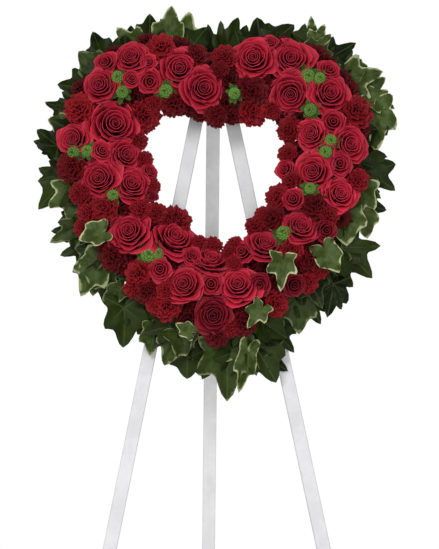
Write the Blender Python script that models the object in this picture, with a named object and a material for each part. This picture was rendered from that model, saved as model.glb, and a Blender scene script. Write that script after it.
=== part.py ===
"""Open heart wreath of roses, carnations and ivy on a white wooden tripod easel.

Metres, +Z up, front towards -Y. The origin is on the floor, under the middle of the whole object.
The front frame leans back, so it is built upright in its own axes and hung from a tilted empty:
x to the right, y backwards (the wreath's depth w is -y), z up the legs.
"""

import math
import random

import bmesh
import bpy
from mathutils import Matrix, Vector

MM = 0.001
GAP = 0.0003
SLIVER = 0.00003

# Easel
LEAN = math.radians(10.0)
REAR_SPREAD = math.radians(28.0)
LEG_SPREAD = math.radians(11.4)
LEG_WIDTH = 0.023
LEG_THICK = 0.010
LEG_TOP = 1.190
LEG_CROSSING = 1.242
LEG_EDGE = 0.0012
BLOCK_WIDTH = 0.052
BLOCK_THICK = 0.014
BLOCK_HEIGHT = 0.050
BLOCK_TOP = 1.178
HINGE_WIDTH = 0.019
HINGE_LEAF = 0.0015
HINGE_HEIGHT = 0.018
HINGE_ROOM = 0.0004
BARREL_RADIUS = 0.003
PIN_RADIUS = 0.0012
PIN_PROUD = 0.0008
WIRE_RADIUS = 0.0013
BARREL_SIDES = 12
HANGER_HALF = 0.010
HANGER_STAND = 0.0035

# Wreath form
WREATH_HEIGHT = 0.941 / math.cos(LEAN)
TRAY_DEPTH = 0.005
TRAY_RIM = 0.012
TRAY_WALL = 0.002
FOAM_FRONT = 0.040
FOAM_HALF_WIDTH = 0.034
FOAM_EDGE = 0.006
FORM_STATIONS = 30
HALF_HEART = [(0, 168), (48, 196), (108, 206), (165, 176), (193, 115), (190, 48),
              (163, -22), (114, -95), (56, -150), (0, -180)]

# Planting
STEM_RADIUS = 0.0024
STEM_HOLE = 0.0038
STEM_EDGE = 0.0095
STEM_SEAT = 0.022
STEM_END_ROOM = 0.001
FOOT_LEVEL = 0.0409
LINK_LEVEL = 0.0422
LINK_RADIUS = 0.0012
BLOOM_FLOOR = 0.0465
NECK_DROP = 0.0025
NECK_SWELL = 1.1
CROWN = 0.086
CROWN_FALL = 0.026
CROWN_REACH = 0.080
BUNCH_LIMIT = 6
FULLNESS = 1.12
BUNCH_LEAST = 3
LONE_BLOOMS = 7
TOUCH = 0.88
LEAST_SHARE = 0.28
WALL_SIGHT = 0.012
RIM_REACH = 1.02
FIRM_HEART = 0.45
FOOT_SHIFT = 0.55
FOOT_ROOM = 2.2
LINK_BENDS = (0.0, 0.006, -0.006, 0.011, -0.011, 0.016, -0.016)
LINK_LAP = 0.0006
NEAREST_PLACES = 40
SINGLE_NAMES = {"rose": "rose", "spray": "spray_rose", "carnation": "carnation"}

# Each bloom: across and up from the wreath's centre, and its radius, in millimetres
ROSES = [(-144, 228, 28), (-60, 206, 33), (-196, 178, 28), (-167, 111, 42), (-241, 87, 26),
         (-18, 171, 34), (63, 226, 33), (127, 225, 34), (125, 160, 33), (194, 165, 32),
         (228, 76, 33), (157, 96, 25), (-147, 59, 29), (-197, 18, 33), (-139, 10, 30),
         (-147, -71, 34), (-66, -76, 36), (-9, -111, 28), (82, -89, 31), (-56, -160, 30),
         (34, -160, 33), (159, 30, 31), (209, -8, 28), (142, -62, 28), (-6, -215, 30)]
SPRAY_ROSES = [(-187, 218, 18), (-110, 181, 19), (192, 207, 18), (197, 114, 20), (-189, 64, 16),
               (-95, -138, 18), (-10, -162, 18), (-40, -113, 15), (40, -104, 20), (127, -17, 18),
               (113, 37, 17), (207, 42, 19), (184, -71, 18), (130, -163, 18), (71, -165, 19),
               (-107, 34, 13), (-107, -8, 12), (-113, 215, 13), (-140, 187, 14), (92, 255, 13)]
CARNATIONS = [(-93, 247, 23), (-29, 232, 21), (14, 232, 20), (3, 205, 16), (-231, 138, 25),
              (-115, 124, 26), (-71, 144, 22), (61, 165, 28), (66, 129, 25), (-1, 121, 18),
              (239, 138, 27), (118, 104, 21), (-244, 40, 24), (-231, -7, 18),
              (-189, -34, 22), (-219, -42, 16), (-123, -33, 18), (-61, -42, 24),
              (-176, -118, 22), (-134, -145, 22), (-118, -176, 19),
              (-85, -198, 24), (-1, -249, 20), (46, -228, 21), (100, -8, 20),
              (88, -44, 22), (166, -26, 23), (189, -44, 17), (125, -104, 19), (160, -124, 21),
              (241, 17, 18), (103, -195, 21), (156, -160, 17)]
BUTTONS = [(-165, 190, 10), (-157, 165, 10), (-85, 166, 11), (155, 193, 11), (175, 190, 9),
           (33, 162, 9), (157, 134, 10), (192, 82, 10), (182, 62, 10), (-241, 62, 10),
           (-216, 63, 9), (-172, -12, 9), (-112, -113, 13), (110, -74, 12)]
# Leaves lying over the flowers: place, half length, and the way the tip points, in degrees
FRONT_LEAVES = [(-203, -78, 26, 200), (108, -138, 28, 265), (188, -116, 30, 300), (66, -212, 23, 235),
                (-52, -236, 17, 150)]

# Ivy round the edge, spray by spray: leaf base, then length, half width and tip angle, in millimetres
# and degrees. Neighbouring sprays lie at two depths, so their leaves pass clear of each other.
IVY_SPRAYS = [
    [(-44, 234, 72, 27, 62), (-60, 244, 66, 27, 100), (-92, 238, 62, 26, 112), (-128, 232, 62, 25, 96),
     (-20, 226, 62, 22, 76)],
    [(-152, 214, 66, 25, 118), (-184, 198, 66, 25, 125), (-204, 176, 56, 22, 152),
     (-206, 152, 70, 27, 164), (-216, 128, 62, 21, 178)],
    [(-222, 96, 66, 24, 172), (-236, 58, 60, 22, 192), (-232, 24, 70, 29, 186),
     (-226, 4, 76, 25, 212), (-214, -24, 62, 25, 206)],
    [(-208, -46, 70, 24, 204), (-192, -70, 82, 27, 202), (-178, -92, 84, 28, 216),
     (-160, -104, 82, 29, 208), (-150, -130, 76, 27, 232)],
    [(-118, -156, 84, 30, 246), (-100, -180, 74, 27, 232), (-84, -194, 82, 31, 262),
     (-50, -214, 94, 32, 252), (-30, -222, 92, 33, 282)],
    [(18, -236, 86, 34, 252), (40, -222, 102, 35, 288), (62, -206, 92, 31, 312),
     (92, -176, 84, 27, 290)],
    [(118, -156, 88, 29, 302), (144, -132, 84, 27, 322), (170, -106, 86, 30, 318),
     (186, -84, 84, 31, 300)],
    [(196, -66, 84, 30, 320), (206, -42, 78, 27, 340), (216, -14, 76, 26, 326),
     (222, 16, 82, 31, 338)],
    [(232, 40, 68, 29, 338), (234, 66, 70, 28, 8), (230, 96, 72, 27, 20), (222, 122, 70, 26, 38)],
    [(208, 150, 72, 27, 62), (176, 174, 76, 27, 50), (152, 196, 76, 26, 78), (118, 216, 60, 25, 98),
     (92, 222, 62, 27, 74)],
]
LEAF_OUTLINE = [(0.0, 0.0), (0.52, -0.11), (0.56, 0.15), (1.0, 0.31), (0.50, 0.55), (0.0, 1.0)]
STALK_OUTLINE = [(0.0, 0.0), (-0.05, -0.02), (-0.05, -1.0), (0.05, -1.0), (0.05, -0.02)]
LEAF_THICK = 0.0010
FRONT_LEAF = {"back": 0.75, "length": 1.7, "half_width": 0.85, "low": 0.002, "fold": 0.10, "thick": 0.0016}
VINE_RADIUS = 0.0019
VINE_OUT = 0.0085
VINE_BEND = math.radians(24)
VINE_STEP = 7
LAYER_BACK = 0.0045
LAYER_FRONT = 0.0258
LAYER_DEPTH = 0.0195
LEAF_STEPS = [-0.0084, -0.0040, 0.0, 0.0044, 0.0092]
LEAF_DROOP = 0.0006
LEAF_FOLD = 0.0005
LEAF_SWING = 0.0002
JOINT_ROOM = 2
LEAF_CLEAR = 0.002
VINE_PIN = 0.0015
VINE_HOLE = 0.0024
VINE_SEAT = 0.006

WHITE_WOOD = ((0.70, 0.70, 0.73, 1.0), 0.45, 0.0)
PLATED_STEEL = ((0.55, 0.55, 0.56, 1.0), 0.35, 1.0)
FORM_PLASTIC = ((0.02, 0.09, 0.03, 1.0), 0.5, 0.0)
WET_FOAM = ((0.03, 0.10, 0.04, 1.0), 0.95, 0.0)
ROSE_RED = ((0.33, 0.010, 0.030, 1.0), 0.55, 0.0)
BUNCH_RED = ((0.42, 0.015, 0.050, 1.0), 0.6, 0.0)
IVY_GREEN = ((0.06, 0.14, 0.03, 1.0), 0.4, 0.0)


def clear_scene():
    for thing in list(bpy.data.objects):
        bpy.data.objects.remove(thing, do_unlink=True)


def make_collection(name):
    group = bpy.data.collections.new(name)
    bpy.context.scene.collection.children.link(group)
    return group


def make_material(name, finish):
    colour, roughness, metallic = finish
    material = bpy.data.materials.new(name)
    material.use_nodes = True
    shader = material.node_tree.nodes["Principled BSDF"]
    shader.inputs["Base Color"].default_value = colour
    shader.inputs["Roughness"].default_value = roughness
    shader.inputs["Metallic"].default_value = metallic
    material.diffuse_color = colour
    return material


def mesh_object(name, bm, group, material=None, parent=None):
    mesh = bpy.data.meshes.new(name)
    bm.to_mesh(mesh)
    bm.free()
    thing = bpy.data.objects.new(name, mesh)
    group.objects.link(thing)
    thing.parent = parent
    if material:
        mesh.materials.append(material)
    return thing


def box_mesh(low, high):
    low, high = Vector(low), Vector(high)
    bm = bmesh.new()
    bmesh.ops.create_cube(bm, size=1.0)
    bmesh.ops.scale(bm, vec=high - low, verts=bm.verts)
    bmesh.ops.translate(bm, vec=(low + high) / 2, verts=bm.verts)
    return bm


def bar_mesh(start, end, radius, sides, end_radius=None):
    """A round bar or tapered stem between two points."""
    start, end = Vector(start), Vector(end)
    bm = bmesh.new()
    along = end - start
    bmesh.ops.create_cone(bm, cap_ends=True, segments=sides, radius1=radius,
                          radius2=radius if end_radius is None else end_radius, depth=along.length)
    turn = along.to_track_quat("Z", "Y").to_matrix().to_4x4()
    bmesh.ops.transform(bm, matrix=Matrix.Translation((start + end) / 2) @ turn, verts=bm.verts)
    return bm


def trim(bm, point, normal):
    """Cuts away what lies on the normal's side of a plane, and closes the cut."""
    everything = bm.verts[:] + bm.edges[:] + bm.faces[:]
    cut = bmesh.ops.bisect_plane(bm, geom=everything, plane_co=point, plane_no=normal,
                                 clear_outer=True, dist=1e-7)
    edges = [item for item in cut["geom_cut"] if isinstance(item, bmesh.types.BMEdge)]
    bmesh.ops.contextual_create(bm, geom=edges)
    bmesh.ops.recalc_face_normals(bm, faces=bm.faces)


def drop_slivers(mesh):
    """Takes out the edges that a join leaves too short to see."""
    bm = bmesh.new()
    bm.from_mesh(mesh)
    bmesh.ops.triangulate(bm, faces=bm.faces)
    bmesh.ops.dissolve_degenerate(bm, dist=SLIVER, edges=bm.edges)
    bmesh.ops.triangulate(bm, faces=bm.faces)
    bm.to_mesh(mesh)
    bm.free()


def combine(base, tools, operation, solver="MANIFOLD"):
    """Joins or cuts a mesh object with others, applies it, and removes the others."""
    if not tools:
        return base
    held = bpy.data.collections.new("tools_for_" + base.name)
    bpy.context.scene.collection.children.link(held)
    for tool in tools:
        for owner in list(tool.users_collection):
            owner.objects.unlink(tool)
        held.objects.link(tool)
    modifier = base.modifiers.new("join", "BOOLEAN")
    modifier.operation = operation
    modifier.operand_type = "COLLECTION"
    modifier.collection = held
    modifier.solver = solver
    view = bpy.context.evaluated_depsgraph_get()
    view.update()
    made = bpy.data.meshes.new_from_object(base.evaluated_get(view))
    base.modifiers.clear()
    base.data = made
    if solver == "MANIFOLD":
        drop_slivers(made)
    for tool in tools:
        bpy.data.objects.remove(tool, do_unlink=True)
    bpy.data.collections.remove(held)
    return base


def floor_normal():
    """The floor's upward normal in the leaning frame's own axes."""
    return Vector((0.0, -math.sin(LEAN), math.cos(LEAN)))


# Wreath shape


def heart_line(steps):
    """The middle line of the form, as a smooth closed curve through its hand-set points."""
    points = HALF_HEART + [(-x, y) for x, y in HALF_HEART[-2:0:-1]]
    points = [Vector((x * MM, y * MM)) for x, y in points]
    count = len(points)
    line = []
    for index in range(count):
        before, here, there, after = (points[(index + k - 1) % count] for k in range(4))
        for step in range(steps):
            t = step / steps
            line.append(0.5 * (2 * here + (there - before) * t
                               + (2 * before - 5 * here + 4 * there - after) * t * t
                               + (3 * here - before - 3 * there + after) * t ** 3))
    return line


HEART = heart_line(10)


def even_line(line, count):
    """The same closed line with its points spaced evenly."""
    lengths = [0.0]
    for index in range(len(line)):
        lengths.append(lengths[-1] + (line[(index + 1) % len(line)] - line[index]).length)
    total = lengths[-1]
    even = []
    place = 0
    for step in range(count):
        target = total * step / count
        while lengths[place + 1] < target:
            place += 1
        part = (target - lengths[place]) / (lengths[place + 1] - lengths[place])
        even.append(line[place].lerp(line[(place + 1) % len(line)], part))
    return even


def line_normals(line):
    """The outward direction at each point of a closed line that runs clockwise."""
    normals = []
    for index in range(len(line)):
        along = line[(index + 1) % len(line)] - line[index - 1]
        normals.append(Vector((-along.y, along.x)).normalized())
    return normals


HEART_NORMALS = line_normals(HEART)


def nearest_on_heart(point):
    """The nearest point of the middle line, and the signed distance outwards from it."""
    index = min(range(len(HEART)), key=lambda k: (HEART[k] - point).length_squared)
    away = point - HEART[index]
    return HEART[index], away.length * (1 if away.dot(HEART_NORMALS[index]) > 0 else -1)


def wreath_point(across, up, depth):
    return Vector((across, -depth, WREATH_HEIGHT + up))


def ring_mesh(section):
    """Sweeps a section, as (outwards, depth) pairs in order, round the heart."""
    line = even_line(HEART, FORM_STATIONS)
    normals = line_normals(line)
    bm = bmesh.new()
    rings = []
    for point, normal in zip(line, normals):
        ring = []
        for out, depth in section:
            place = point + normal * out
            ring.append(bm.verts.new(wreath_point(place.x, place.y, depth)))
        rings.append(ring)
    for index, ring in enumerate(rings):
        following = rings[(index + 1) % len(rings)]
        for side in range(len(section)):
            other = (side + 1) % len(section)
            bm.faces.new((ring[side], following[side], following[other], ring[other]))
    bmesh.ops.recalc_face_normals(bm, faces=bm.faces)
    return bm


def make_tray(group, material, parent):
    outside = FOAM_HALF_WIDTH + TRAY_WALL + GAP
    inside = outside - TRAY_WALL
    section = [(-outside, GAP), (outside, GAP), (outside, TRAY_RIM), (inside, TRAY_RIM),
               (inside, TRAY_DEPTH), (-inside, TRAY_DEPTH), (-inside, TRAY_RIM), (-outside, TRAY_RIM)]
    return mesh_object("form_tray", ring_mesh(section), group, material, parent)


def make_foam(group, material, parent, stems, pins):
    half = FOAM_HALF_WIDTH
    back = TRAY_DEPTH + GAP
    shoulder = FOAM_FRONT - FOAM_EDGE
    section = [(-half, back), (half, back), (half, shoulder), (half - FOAM_EDGE, FOAM_FRONT),
               (FOAM_EDGE - half, FOAM_FRONT), (-half, shoulder)]
    foam = mesh_object("form_foam", ring_mesh(section), group, material, parent)
    holes = []
    for number, stem in enumerate(stems):
        start = wreath_point(stem.x, stem.y, STEM_SEAT - STEM_END_ROOM)
        end = wreath_point(stem.x, stem.y, FOAM_FRONT + FOAM_EDGE)
        holes.append(mesh_object(f"stem_hole_{number}",
                                 bar_mesh(start, end, STEM_HOLE, 4), group, None, parent))
    for number, (start, end) in enumerate(pins):
        further = end + (end - start).normalized() * GAP
        holes.append(mesh_object(f"vine_hole_{number}", bar_mesh(start, further, VINE_HOLE, 4), group,
                                 None, parent))
    return combine(foam, holes, "DIFFERENCE")


# Blooms


class Bloom:
    """One bloom, button or front leaf, which keeps to its own cell of the wreath's face."""

    def __init__(self, kind, entry, turn):
        self.kind = kind
        self.place = Vector((entry[0] * MM, entry[1] * MM))
        self.radius = entry[2] * MM * FULLNESS
        self.angle = math.radians(entry[3]) if len(entry) > 3 else None
        self.turn = turn
        self.bunch = None
        self.walls = []
        middle, self.out = nearest_on_heart(self.place)
        self.middle = middle
        self.outward = (self.place - middle).normalized() if abs(self.out) > 0.002 else Vector((0, 1))
        fall = min(abs(self.out) / CROWN_REACH, 1.0)
        self.crown = CROWN - CROWN_FALL * fall ** 2
        self.slope = 2 * CROWN_FALL * fall / CROWN_REACH

    def share(self, other):
        """How far this bloom may reach towards another before the wall between them."""
        apart = (other.place - self.place).length
        reach = (apart ** 2 + self.radius ** 2 - other.radius ** 2) / (2 * apart)
        return min(max(reach, LEAST_SHARE * apart), (1 - LEAST_SHARE) * apart)

    def set_walls(self, blooms):
        self.walls = []
        for other in blooms:
            if other is self:
                continue
            away = other.place - self.place
            if away.length > self.radius + other.radius + WALL_SIGHT:
                continue
            self.walls.append((away.normalized(), self.share(other) - GAP / 2 - 0.0001))

    def reach(self, direction):
        limit = self.radius * 2
        for normal, distance in self.walls:
            facing = direction.dot(normal)
            if facing > 1e-6:
                limit = min(limit, distance / facing)
        return limit

    def squeeze(self, direction, distance):
        """Presses the outer part of the bloom in where its cell ends, and keeps the order."""
        limit = self.reach(direction)
        widest = self.radius * RIM_REACH
        if widest <= limit:
            return distance
        inner = FIRM_HEART * limit
        if distance <= inner:
            return distance
        return inner + (distance - inner) * (limit - inner) / (widest - inner)

    def foot(self):
        """Where the stem stands: towards the form's middle, inside the bloom's own cell."""
        towards = self.middle - self.place
        wanted = min(towards.length, FOOT_SHIFT * self.radius)
        if towards.length < 1e-5:
            return self.place.copy()
        towards.normalize()
        wanted = min(wanted, max(self.reach(towards) - STEM_RADIUS * FOOT_ROOM, 0.0))
        return self.place + towards * wanted

    def height(self, place, below):
        """Depth of a surface point, with the bloom turned down towards the wreath's edge."""
        lean = (place - self.place).dot(self.outward) * self.slope
        return max(self.crown - below - lean, BLOOM_FLOOR)


def ring_points(bloom, count, radius_rule, fall_rule):
    points = []
    for step in range(count):
        angle = bloom.turn + 2 * math.pi * step / count
        direction = Vector((math.cos(angle), math.sin(angle)))
        distance = bloom.squeeze(direction, bloom.radius * radius_rule(step))
        place = bloom.place + direction * distance
        points.append((place, bloom.height(place, bloom.radius * fall_rule(step))))
    return points


def scallop(step, shift, depth):
    """Petals three steps wide: full, full, then the notch between two petals."""
    return 1.0 - depth if (step + shift) % 3 == 0 else 1.0


def bloom_rings(bloom):
    """The rings of a bloom from its outer rim to its heart, and the last point."""
    if bloom.kind == "rose":
        count = 12
        rules = [(1.0, 0.44, 0, 0.13), (0.77, 0.62, 1, 0.0), (0.71, 0.27, 2, 0.12),
                 (0.49, 0.44, 0, 0.0), (0.43, 0.10, 1, 0.14)]
        core = 0.16
    elif bloom.kind == "spray":
        count = 9
        rules = [(1.0, 0.50, 0, 0.16), (0.66, 0.66, 1, 0.0), (0.56, 0.14, 2, 0.16)]
        core = 0.26
    elif bloom.kind == "carnation":
        count = 10
        rules = [(1.0, 0.50, 0, 0.0), (0.68, 0.30, 1, 0.0), (0.36, 0.12, 0, 0.0)]
        core = 0.02
    else:
        count = 6
        rules = [(0.95, 0.55, 0, 0.0), (0.60, 0.10, 1, 0.0)]
        core = 0.0
    rings = []
    for radius, fall, shift, notch in rules:
        if bloom.kind == "carnation":
            def width(step, radius=radius, shift=shift):
                return radius * (1.0 if (step + shift) % 2 else 0.80)

            def drop(step, fall=fall, shift=shift):
                return fall + (0.17 if (step + shift) % 2 else -0.10)
        else:
            def width(step, radius=radius, shift=shift, notch=notch):
                return radius * scallop(step, shift, notch)

            def drop(step, fall=fall, shift=shift, notch=notch):
                return fall + 1.1 * (1.0 - scallop(step, shift, notch))
        rings.append(ring_points(bloom, count, width, drop))
    return rings, (bloom.place, bloom.height(bloom.place, bloom.radius * core))


def bloom_mesh(bloom, stemmed):
    """One closed bloom: layered petal rims over a funnel, with its stem where it has one."""
    rings, tip = bloom_rings(bloom)
    count = len(rings[0])
    sides = count // 3 if count % 2 else count // 2
    foot = bloom.foot()
    bm = bmesh.new()

    def foot_ring(depth, radius):
        ring = []
        for step in range(sides):
            angle = bloom.turn + 2 * math.pi * step / sides
            place = foot + Vector((math.cos(angle), math.sin(angle))) * radius
            ring.append(bm.verts.new(wreath_point(place.x, place.y, depth)))
        return ring

    low = foot_ring(STEM_SEAT if stemmed else FOOT_LEVEL, STEM_RADIUS)
    neck = foot_ring(BLOOM_FLOOR - NECK_DROP, STEM_RADIUS * NECK_SWELL)
    loops = [[bm.verts.new(wreath_point(place.x, place.y, depth)) for place, depth in ring]
             for ring in rings]
    for lower, upper in [(low, neck)] + list(zip(loops, loops[1:])):
        for step in range(len(lower)):
            following = (step + 1) % len(lower)
            bm.faces.new((lower[step], lower[following], upper[following], upper[step]))
    each = count // sides
    for step in range(sides):
        rim = [loops[0][(step * each + k) % count] for k in range(each + 1)]
        bm.faces.new((neck[step], neck[(step + 1) % sides], rim[-1]))
        for one, other in zip(rim, rim[1:]):
            bm.faces.new((neck[step], other, one))
    bm.faces.new(reversed(low))
    top = bm.verts.new(wreath_point(tip[0].x, tip[0].y, tip[1]))
    for step in range(count):
        bm.faces.new((loops[-1][step], loops[-1][(step + 1) % count], top))
    bmesh.ops.triangulate(bm, faces=bm.faces)
    return bm


def leaf_outline_mesh(right, stalk=None):
    """A lobed leaf laid flat: its right half's outline, that half mirrored, and its stalk if it has one."""
    bm = bmesh.new()
    left = [(-x, y) for x, y in reversed(right)]
    for outline in (right, left) + ((stalk,) if stalk else ()):
        bm.faces.new([bm.verts.new((x, y, 0.0)) for x, y in outline])
    bmesh.ops.remove_doubles(bm, verts=bm.verts, dist=1e-6)
    bmesh.ops.triangulate(bm, faces=bm.faces)
    return bm


def thicken_leaf(bm, thickness):
    """Gives a bent leaf its thickness straight down its own depth, split alike on both faces."""
    low = bmesh.ops.extrude_face_region(bm, geom=bm.faces[:])["geom"]
    moved = [item for item in low if isinstance(item, bmesh.types.BMVert)]
    bmesh.ops.translate(bm, vec=(0, thickness, 0), verts=moved)
    bmesh.ops.recalc_face_normals(bm, faces=bm.faces)


def leaf_mesh(base, joint, length, half_width, angle, depth_at):
    """An ivy leaf in the wreath's plane with its flat stalk, which runs back to the vine's joint."""
    bm = leaf_outline_mesh(LEAF_OUTLINE[:1] + STALK_OUTLINE[-1:] + LEAF_OUTLINE[1:], STALK_OUTLINE)
    along = Vector((math.cos(angle), math.sin(angle)))
    side = Vector((along.y, -along.x))
    for vert in bm.verts:
        x, y = vert.co.x, vert.co.y
        if y < -0.5:
            place = joint + side * (x * half_width)
        else:
            place = base + along * (y * length) + side * (x * half_width)
        vert.co = wreath_point(place.x, place.y, depth_at(x, y))
    thicken_leaf(bm, LEAF_THICK)
    return bm


def front_leaf_meshes(bloom):
    """A leaf over the flowers, kept to its own cell, and the stalk that it stands on."""
    along = Vector((math.cos(bloom.angle), math.sin(bloom.angle)))
    base = bloom.place - along * bloom.radius * FRONT_LEAF["back"]
    bm = leaf_outline_mesh(LEAF_OUTLINE)
    side = Vector((along.y, -along.x))
    for vert in bm.verts:
        x, y = vert.co.x, vert.co.y
        place = base + along * (y * bloom.radius * FRONT_LEAF["length"])
        place += side * (x * bloom.radius * FRONT_LEAF["half_width"])
        away = place - bloom.place
        if away.length > 1e-6:
            distance = bloom.squeeze(away.normalized(), min(away.length, bloom.radius))
            place = bloom.place + away.normalized() * distance
        depth = bloom.height(place, FRONT_LEAF["low"] + FRONT_LEAF["fold"] * bloom.radius * abs(x))
        vert.co = wreath_point(place.x, place.y, depth)
    thicken_leaf(bm, FRONT_LEAF["thick"])
    foot = bloom.foot()
    low = wreath_point(foot.x, foot.y, FOOT_LEVEL)
    high = wreath_point(bloom.place.x, bloom.place.y, bloom.height(bloom.place, FRONT_LEAF["low"] + MM / 2))
    return bm, bar_mesh(low, high, STEM_RADIUS, 6)


def gather_blooms():
    """All the blooms in their places, each with a seeded turn of its own."""
    draw = random.Random(24)
    blooms = []
    for kind, entries in (("rose", ROSES), ("spray", SPRAY_ROSES), ("carnation", CARNATIONS),
                          ("button", BUTTONS), ("leaf", FRONT_LEAVES)):
        for entry in entries:
            blooms.append(Bloom(kind, entry, draw.uniform(0.0, 2 * math.pi)))
    return blooms


def closeness(one, other):
    return (one.place - other.place).length / (one.radius + other.radius)


def sort_bunches(blooms):
    """Gathers neighbouring small blooms into bunches, and the rest round the rose that they touch."""
    left = [bloom for bloom in blooms if bloom.kind != "rose"]
    left.sort(key=lambda bloom: math.atan2(bloom.place.x, bloom.place.y))
    bunches = []
    loose = []
    while left:
        bunch = [left.pop(0)]
        for member in bunch:
            near = [bloom for bloom in left if closeness(bloom, member) < TOUCH]
            for bloom in near[:BUNCH_LIMIT - len(bunch)]:
                bunch.append(bloom)
                left.remove(bloom)
        if len(bunch) >= BUNCH_LEAST and any(bloom.kind != "leaf" for bloom in bunch):
            bunches.append(bunch)
        else:
            loose.extend(bunch)
    bunches.extend([bloom] for bloom in blooms if bloom.kind == "rose")
    apart = [bloom for bloom in loose if bloom.kind in ("spray", "carnation") and seated(bloom)]
    apart.sort(key=lambda bloom: -min(closeness(bloom, other) for other in blooms if other is not bloom))
    for bloom in apart[:LONE_BLOOMS]:
        loose.remove(bloom)
        bunches.append([bloom])
    for bloom in loose:
        nearest = min((other for bunch in bunches for other in bunch),
                      key=lambda other: closeness(bloom, other))
        next(bunch for bunch in bunches if nearest in bunch).append(bloom)
    for number, bunch in enumerate(bunches, 1):
        for bloom in bunch:
            bloom.bunch = number
    for bloom in blooms:
        bloom.set_walls(blooms)
    return bunches


def seated(bloom):
    """Whether the stem's root is over the foam."""
    return abs(nearest_on_heart(bloom.foot())[1]) < FOAM_HALF_WIDTH - STEM_EDGE


def link_path(one, other, others):
    """A stem's route between two feet, bent clear of the other feet near it."""
    start, end = one.foot(), other.foot()
    along = (end - start).normalized()
    side = Vector((-along.y, along.x))
    for bend in LINK_BENDS:
        middle = (start + end) / 2 + side * bend
        room = min((min(distance_to_run(foot, start, middle), distance_to_run(foot, middle, end))
                    for foot in others), default=1.0)
        if room > STEM_RADIUS * NECK_SWELL + LINK_RADIUS + GAP:
            break
    return [start, end] if bend == 0.0 else [start, middle, end]


def foam_place(bloom, others):
    """The nearest place over the foam that a stem from this bloom reaches clear of the others."""
    foot = bloom.foot()
    side = 1 if bloom.out > 0 else -1
    places = [place + normal * side * (FOAM_HALF_WIDTH - STEM_EDGE)
              for place, normal in zip(HEART, HEART_NORMALS)]
    places.sort(key=lambda place: (place - foot).length)
    for place in places[:NEAREST_PLACES]:
        if min(distance_to_run(other, foot, place) for other in others) > STEM_HOLE + LINK_RADIUS + GAP:
            return place
    return places[0]


def distance_to_run(point, start, end):
    run = end - start
    part = min(max((point - start).dot(run) / run.length_squared, 0.0), 1.0)
    return (point - start - run * part).length


def make_bunch(name, bunch, feet, group, material, parent, stems):
    """Joins one bunch's blooms into one body, with links between their feet and one stem."""
    anchor = min((bloom for bloom in bunch if bloom.kind != "leaf"),
                 key=lambda bloom: abs(nearest_on_heart(bloom.foot())[1]))
    bodies = []

    def add(label, bm):
        bmesh.ops.triangulate(bm, faces=bm.faces)
        bodies.append(mesh_object(f"{name}_{label}", bm, group, material, parent))

    for number, bloom in enumerate(bunch):
        if bloom.kind == "leaf":
            for layer, bm in enumerate(front_leaf_meshes(bloom)):
                add(f"{number}_{layer}", bm)
        else:
            stemmed = bloom is anchor and seated(bloom)
            if stemmed:
                stems.append(bloom.foot())
            add(number, bloom_mesh(bloom, stemmed))
    if not seated(anchor):
        place = foam_place(anchor, [bloom.foot() for bloom in feet if bloom is not anchor])
        stems.append(place)
        foot = anchor.foot()
        add("reach", bar_mesh(wreath_point(foot.x, foot.y, LINK_LEVEL),
                              wreath_point(place.x, place.y, LINK_LEVEL), LINK_RADIUS, 3))
        add("stem", bar_mesh(wreath_point(place.x, place.y, STEM_SEAT),
                             wreath_point(place.x, place.y, LINK_LEVEL + LINK_RADIUS), STEM_RADIUS, 4))
    joined = [anchor]
    waiting = [bloom for bloom in bunch if bloom is not anchor]
    while waiting:
        one, other = min(((one, other) for one in joined for other in waiting),
                         key=lambda pair: (pair[0].foot() - pair[1].foot()).length)
        joined.append(other)
        waiting.remove(other)
        clear_of = [bloom.foot() for bloom in feet if bloom is not one and bloom is not other]
        route = link_path(one, other, clear_of)
        for index, (start, end) in enumerate(zip(route, route[1:])):
            run = (end - start).normalized() * (LINK_LAP if len(route) > 2 else 0.0)
            near = start - run if index else start
            far = end + run if index == 0 else end
            add(f"link_{len(joined)}_{index}", bar_mesh(wreath_point(near.x, near.y, LINK_LEVEL),
                                                        wreath_point(far.x, far.y, LINK_LEVEL),
                                                        LINK_RADIUS, 3))
    whole = combine(bodies[0], bodies[1:], "UNION")
    whole.name = name
    return whole


def make_flowers(group, parent, rose_red, bunch_red):
    blooms = gather_blooms()
    bunches = sort_bunches(blooms)
    stems = []
    for number, bunch in enumerate(bunches, 1):
        single = len(bunch) == 1
        name = f"{SINGLE_NAMES[bunch[0].kind]}_{number:02d}" if single else f"bunch_{number:02d}"
        make_bunch(name, bunch, blooms, group, rose_red if single else bunch_red, parent, stems)
    return stems


# Ivy


def vine_place(index):
    """The vine runs just outside the foam's outer wall."""
    index %= len(HEART)
    return HEART[index] + HEART_NORMALS[index] * (FOAM_HALF_WIDTH + VINE_OUT)


def clear_of_form(base, length, half_width, angle):
    """Moves a leaf out along its own line until its whole outline passes the form's wall."""
    along = Vector((math.cos(angle), math.sin(angle)))
    side = Vector((along.y, -along.x))
    wall = FOAM_HALF_WIDTH + TRAY_WALL + LEAF_CLEAR
    while True:
        places = [base + along * (y * length) + side * (x * sign * half_width)
                  for x, y in LEAF_OUTLINE for sign in (-1, 1)]
        if min(nearest_on_heart(place)[1] for place in places) > wall:
            return base
        base = base + along * MM


def joint_is_free(index, taken):
    """Whether a leaf may join the vine here, clear of the leaves that already do."""
    return all(JOINT_ROOM <= (index - other) % len(HEART) <= len(HEART) - JOINT_ROOM for other in taken)


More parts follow.
